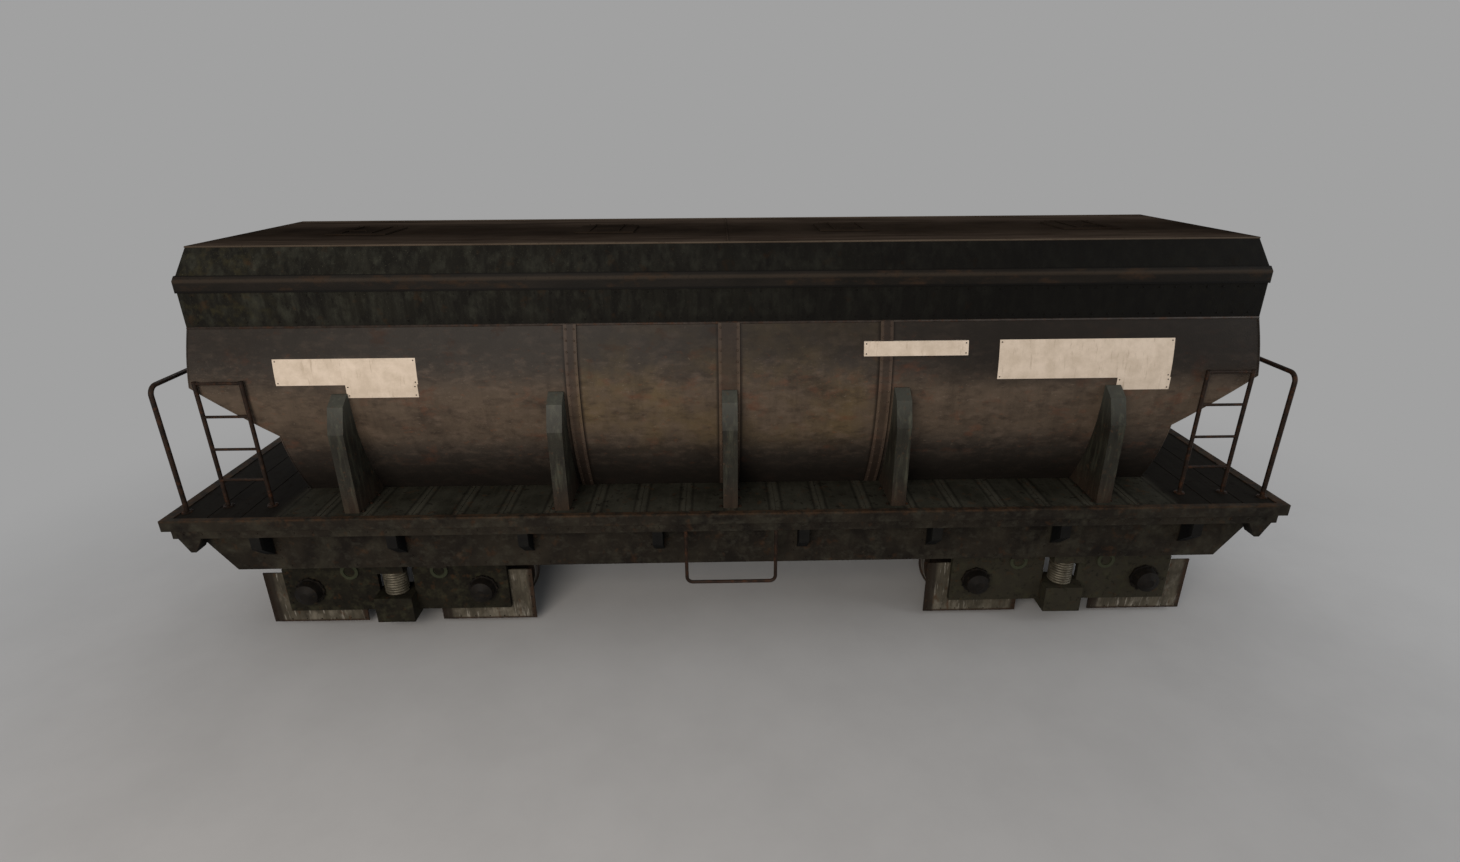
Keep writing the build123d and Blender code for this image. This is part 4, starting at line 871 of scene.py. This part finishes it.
# Feet of the brackets, ladders and hoops
beside_saddle = 0.095
ladder_places, ladder_reach = (4.610, 5.050), 1.300
hoop_place, hoop_reach = 5.384, 1.420
flange_circle, flange_height = 0.036, 0.012
up_way = (0, 0, 1)
foot_bolts = [
    ((x + way * beside_saddle, side * y, deck_top + plate_rise), up_way)
    for x in saddle_places
    for side in both_sides
    for way in both_sides
    for y in (1.10, 1.28, 1.46)
]
feet = [
    ((end * x, side * ladder_reach, deck_top), up_way)
    for end in both_sides
    for x in ladder_places
    for side in both_sides
]
feet += [
    ((end * hoop_place, side * hoop_reach, deck_top), up_way)
    for end in both_sides
    for side in both_sides
]
discs("tube_flanges", feet, 0.050, 0.014, "car_body", "rail_steel")
foot_bolts += [
    ((x + flange_circle * cos(turn), y + flange_circle * sin(turn), z + flange_height), up_way)
    for (x, y, z), _ in feet
    for turn in (0.8, 2.9, 5.0)
]
grown("deck_bolts", bolts, points(foot_bolts), "car_body", "rail_steel", across=0.022, head_height=0.012)

# A bent handle and two stiffening beads on each hatch lid
grip_half, grip_side, grip_rise, grip_sunk = 0.08, -0.22, 0.016, 0.002
grip_bends = [(-grip_half, -grip_sunk), (-grip_half, grip_rise)]
grip_bends += [(grip_half, grip_rise), (grip_half, -grip_sunk)]
rib_offset, rib_half, rib_sunk = 0.15, 0.27, 0.001
for number, place in enumerate(hatch_places, 1):
    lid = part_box(f"hatch_lid_{number}")
    top = lid[1].z
    body = f"hatch_lid_{number}"
    paths = [[(place + x, grip_side, top + z) for x, z in grip_bends]]
    for way in both_sides:
        paths.append([(place + way * rib_offset, side * rib_half, top - rib_sunk) for side in both_sides])
    grown(f"lid_grip_{number}", beads, lines(paths), body, "roof_paint", bead_radius=0.006)

# Springs, cap bolts and rivets of the bogies
wire, inner_wire, inner_share = 0.015, 0.010, 0.55
cap_face, cap_bolt_circle = 1.201, 0.144
frame_face, guard_face = 1.175, 1.115
cap_turns = [pi / 8 + k * pi / 4 for k in range(8)]
frame_edge = [(x, 0.268) for x in spaced(0.29, 1.14, 0.12)] + [(1.16, z) for z in spaced(0.34, 0.72, 0.12)]
guard_foot = [(x, 0.090) for x in spaced(-0.48, 0.48, 0.16)]
for name, way in (("front", 1), ("rear", -1)):
    body = f"bogie_{name}"
    low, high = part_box(f"springs_{name}")
    spring_radius = (high.x - low.x) / 2
    spring_height = high.z - low.z - 2 * wire
    feet = [(way * pivot, side * (high.y - spring_radius), low.z + wire) for side in both_sides]
    coil = grown(
        f"coil_springs_{name}", coils, points(feet), body, "spring_steel",
        turns=9.0, coil_radius=spring_radius - wire, height=spring_height, wire_radius=wire,
    )
    grown(
        f"inner_springs_{name}", coils, points(feet), body, "spring_steel",
        turns=12.0, coil_radius=spring_radius * inner_share, height=spring_height, wire_radius=inner_wire,
    )
    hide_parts(f"springs_{name}")
    cap_bolts, edge_rivets, guard_rivets = [], [], []
    for end in both_sides:
        wheel = way * pivot + end * half_wheelbase
        guard_side = [(end * 0.485, z) for z in spaced(0.2, 0.6, 0.13)]
        for side in both_sides:
            out = (0, side, 0)
            for turn in cap_turns:
                x, z = wheel + cap_bolt_circle * cos(turn), axle_height + cap_bolt_circle * sin(turn)
                cap_bolts.append(((x, side * cap_face, z), out))
            edge_rivets += [((way * pivot + end * x, side * frame_face, z), out) for x, z in frame_edge]
            guard_rivets += [((wheel + x, side * guard_face, z), out) for x, z in guard_foot + guard_side]
    grown(
        f"cap_bolts_{name}", bolts, points(cap_bolts), body, "axle_box_iron",
        across=0.020, head_height=0.012,
    )
    grown(
        f"frame_edge_rivets_{name}", rivets, points(edge_rivets), body, "side_frame_steel",
        head_diameter=0.022, head_height=0.008,
    )
    grown(
        f"guard_rivets_{name}", rivets, points(guard_rivets), body, "side_frame_steel",
        head_diameter=0.016, head_height=0.006,
    )

# Floor, light and camera


def looked_at(tree):
    """The mask for rays from the camera, straight, mirrored or through glass: they see the plain backdrop."""
    rays = node(tree, "ShaderNodeLightPath").outputs
    seen = rays["Is Camera Ray"]
    for kind in ("Is Transmission Ray", "Is Glossy Ray"):
        seen = node(tree, "ShaderNodeMath", {"operation": "MAXIMUM"}, {0: seen, 1: rays[kind]}).outputs[0]
    return seen


floor_reach = 60.0
floor_mesh = bpy.data.meshes.new("floor")
floor_mesh.from_pydata(loop(floor_reach, floor_reach, 0)[:-1], [], [(0, 1, 2, 3)])
floor = bpy.data.objects.new("floor", floor_mesh)
bpy.context.scene.collection.objects.link(floor)
paper = Finish("matt_grey_studio_paper", "#a8a8a8", "#a4a4a4", 900)
floor_mesh.materials.append(paper.made(0.95, grain=3.0, depth=0.02, specular=0.1))
# To the camera, the paper fades into the backdrop's own grey away from the car
tree = paper.tree
away = node(tree, "ShaderNodeVectorMath", {"operation": "LENGTH"}, {0: paper.place})
fade_start, fade_end = 5.5, 11.0
fade = paper.step(away.outputs["Value"], fade_start, fade_end)
backdrop = colour("#a1a1a1")
plain = node(tree, "ShaderNodeEmission", {"Color": backdrop, "Strength": 1.0})
lit = next(n for n in tree.nodes if n.type == "BSDF_PRINCIPLED")
out = next(n for n in tree.nodes if n.type == "OUTPUT_MATERIAL")
share = paper.both(fade, looked_at(tree))
blended = node(tree, "ShaderNodeMixShader", {}, {0: share, 1: lit.outputs[0], 2: plain.outputs[0]})
tree.links.new(blended.outputs[0], out.inputs["Surface"])

world = bpy.data.worlds.new("studio")
bpy.context.scene.world = world
world.use_nodes = True
sky = world.node_tree
sky.nodes.clear()
light = node(sky, "ShaderNodeBackground", {"Color": colour("#e8eaee"), "Strength": 0.52})
wall = node(sky, "ShaderNodeBackground", {"Color": backdrop, "Strength": 1.0})
both = node(sky, "ShaderNodeMixShader", {}, {0: looked_at(sky), 1: light.outputs[0], 2: wall.outputs[0]})
node(sky, "ShaderNodeOutputWorld", {}, {"Surface": both.outputs[0]})


def lamp(name, place, aim, size, watts, code="#ffffff"):
    """A soft square lamp that looks at a point."""
    data = bpy.data.lights.new(name, "AREA")
    data.size = size
    data.energy = watts
    data.color = colour(code)[:3]
    made = bpy.data.objects.new(name, data)
    bpy.context.scene.collection.objects.link(made)
    away = (Vector(place) - Vector(aim)).normalized()
    made.rotation_euler = away.to_track_quat("Z", "Y").to_euler()
    made.location = place


car_middle, lamp_size = (0, 0, 2.0), 8.0
lamp("front_lamp", (-4.5, -13.0, 6.6), car_middle, lamp_size, 1300, "#fff4e8")
lamp("side_lamp", (14.0, -4.0, 6.0), car_middle, lamp_size, 560)
lamp("back_lamp", (-3.0, 12.0, 7.0), car_middle, lamp_size, 700)

# The camera as fitted to the picture, whose width and focus are in pixels
photo_width = 1460.0
photo_focus = 741.9
camera_place = Vector((-0.111, -8.054, 5.026))
pitch, yaw, roll = radians(21.74), radians(0.954), radians(-0.373)
ahead = Vector((sin(yaw) * cos(pitch), cos(yaw) * cos(pitch), -sin(pitch)))
level = Vector((cos(yaw), -sin(yaw), 0.0))
above = level.cross(ahead)
across = level * cos(roll) + above * sin(roll)
upward = above * cos(roll) - level * sin(roll)
lens = bpy.data.cameras.new("camera")
lens.sensor_width = 36.0
lens.lens = photo_focus / photo_width * lens.sensor_width
camera = bpy.data.objects.new("camera", lens)
bpy.context.scene.collection.objects.link(camera)
turned = Matrix((across, upward, -ahead)).transposed().to_4x4()
camera.matrix_world = Matrix.Translation(camera_place) @ turned
bpy.context.scene.camera = camera
bpy.context.scene.view_settings.view_transform = "Standard"
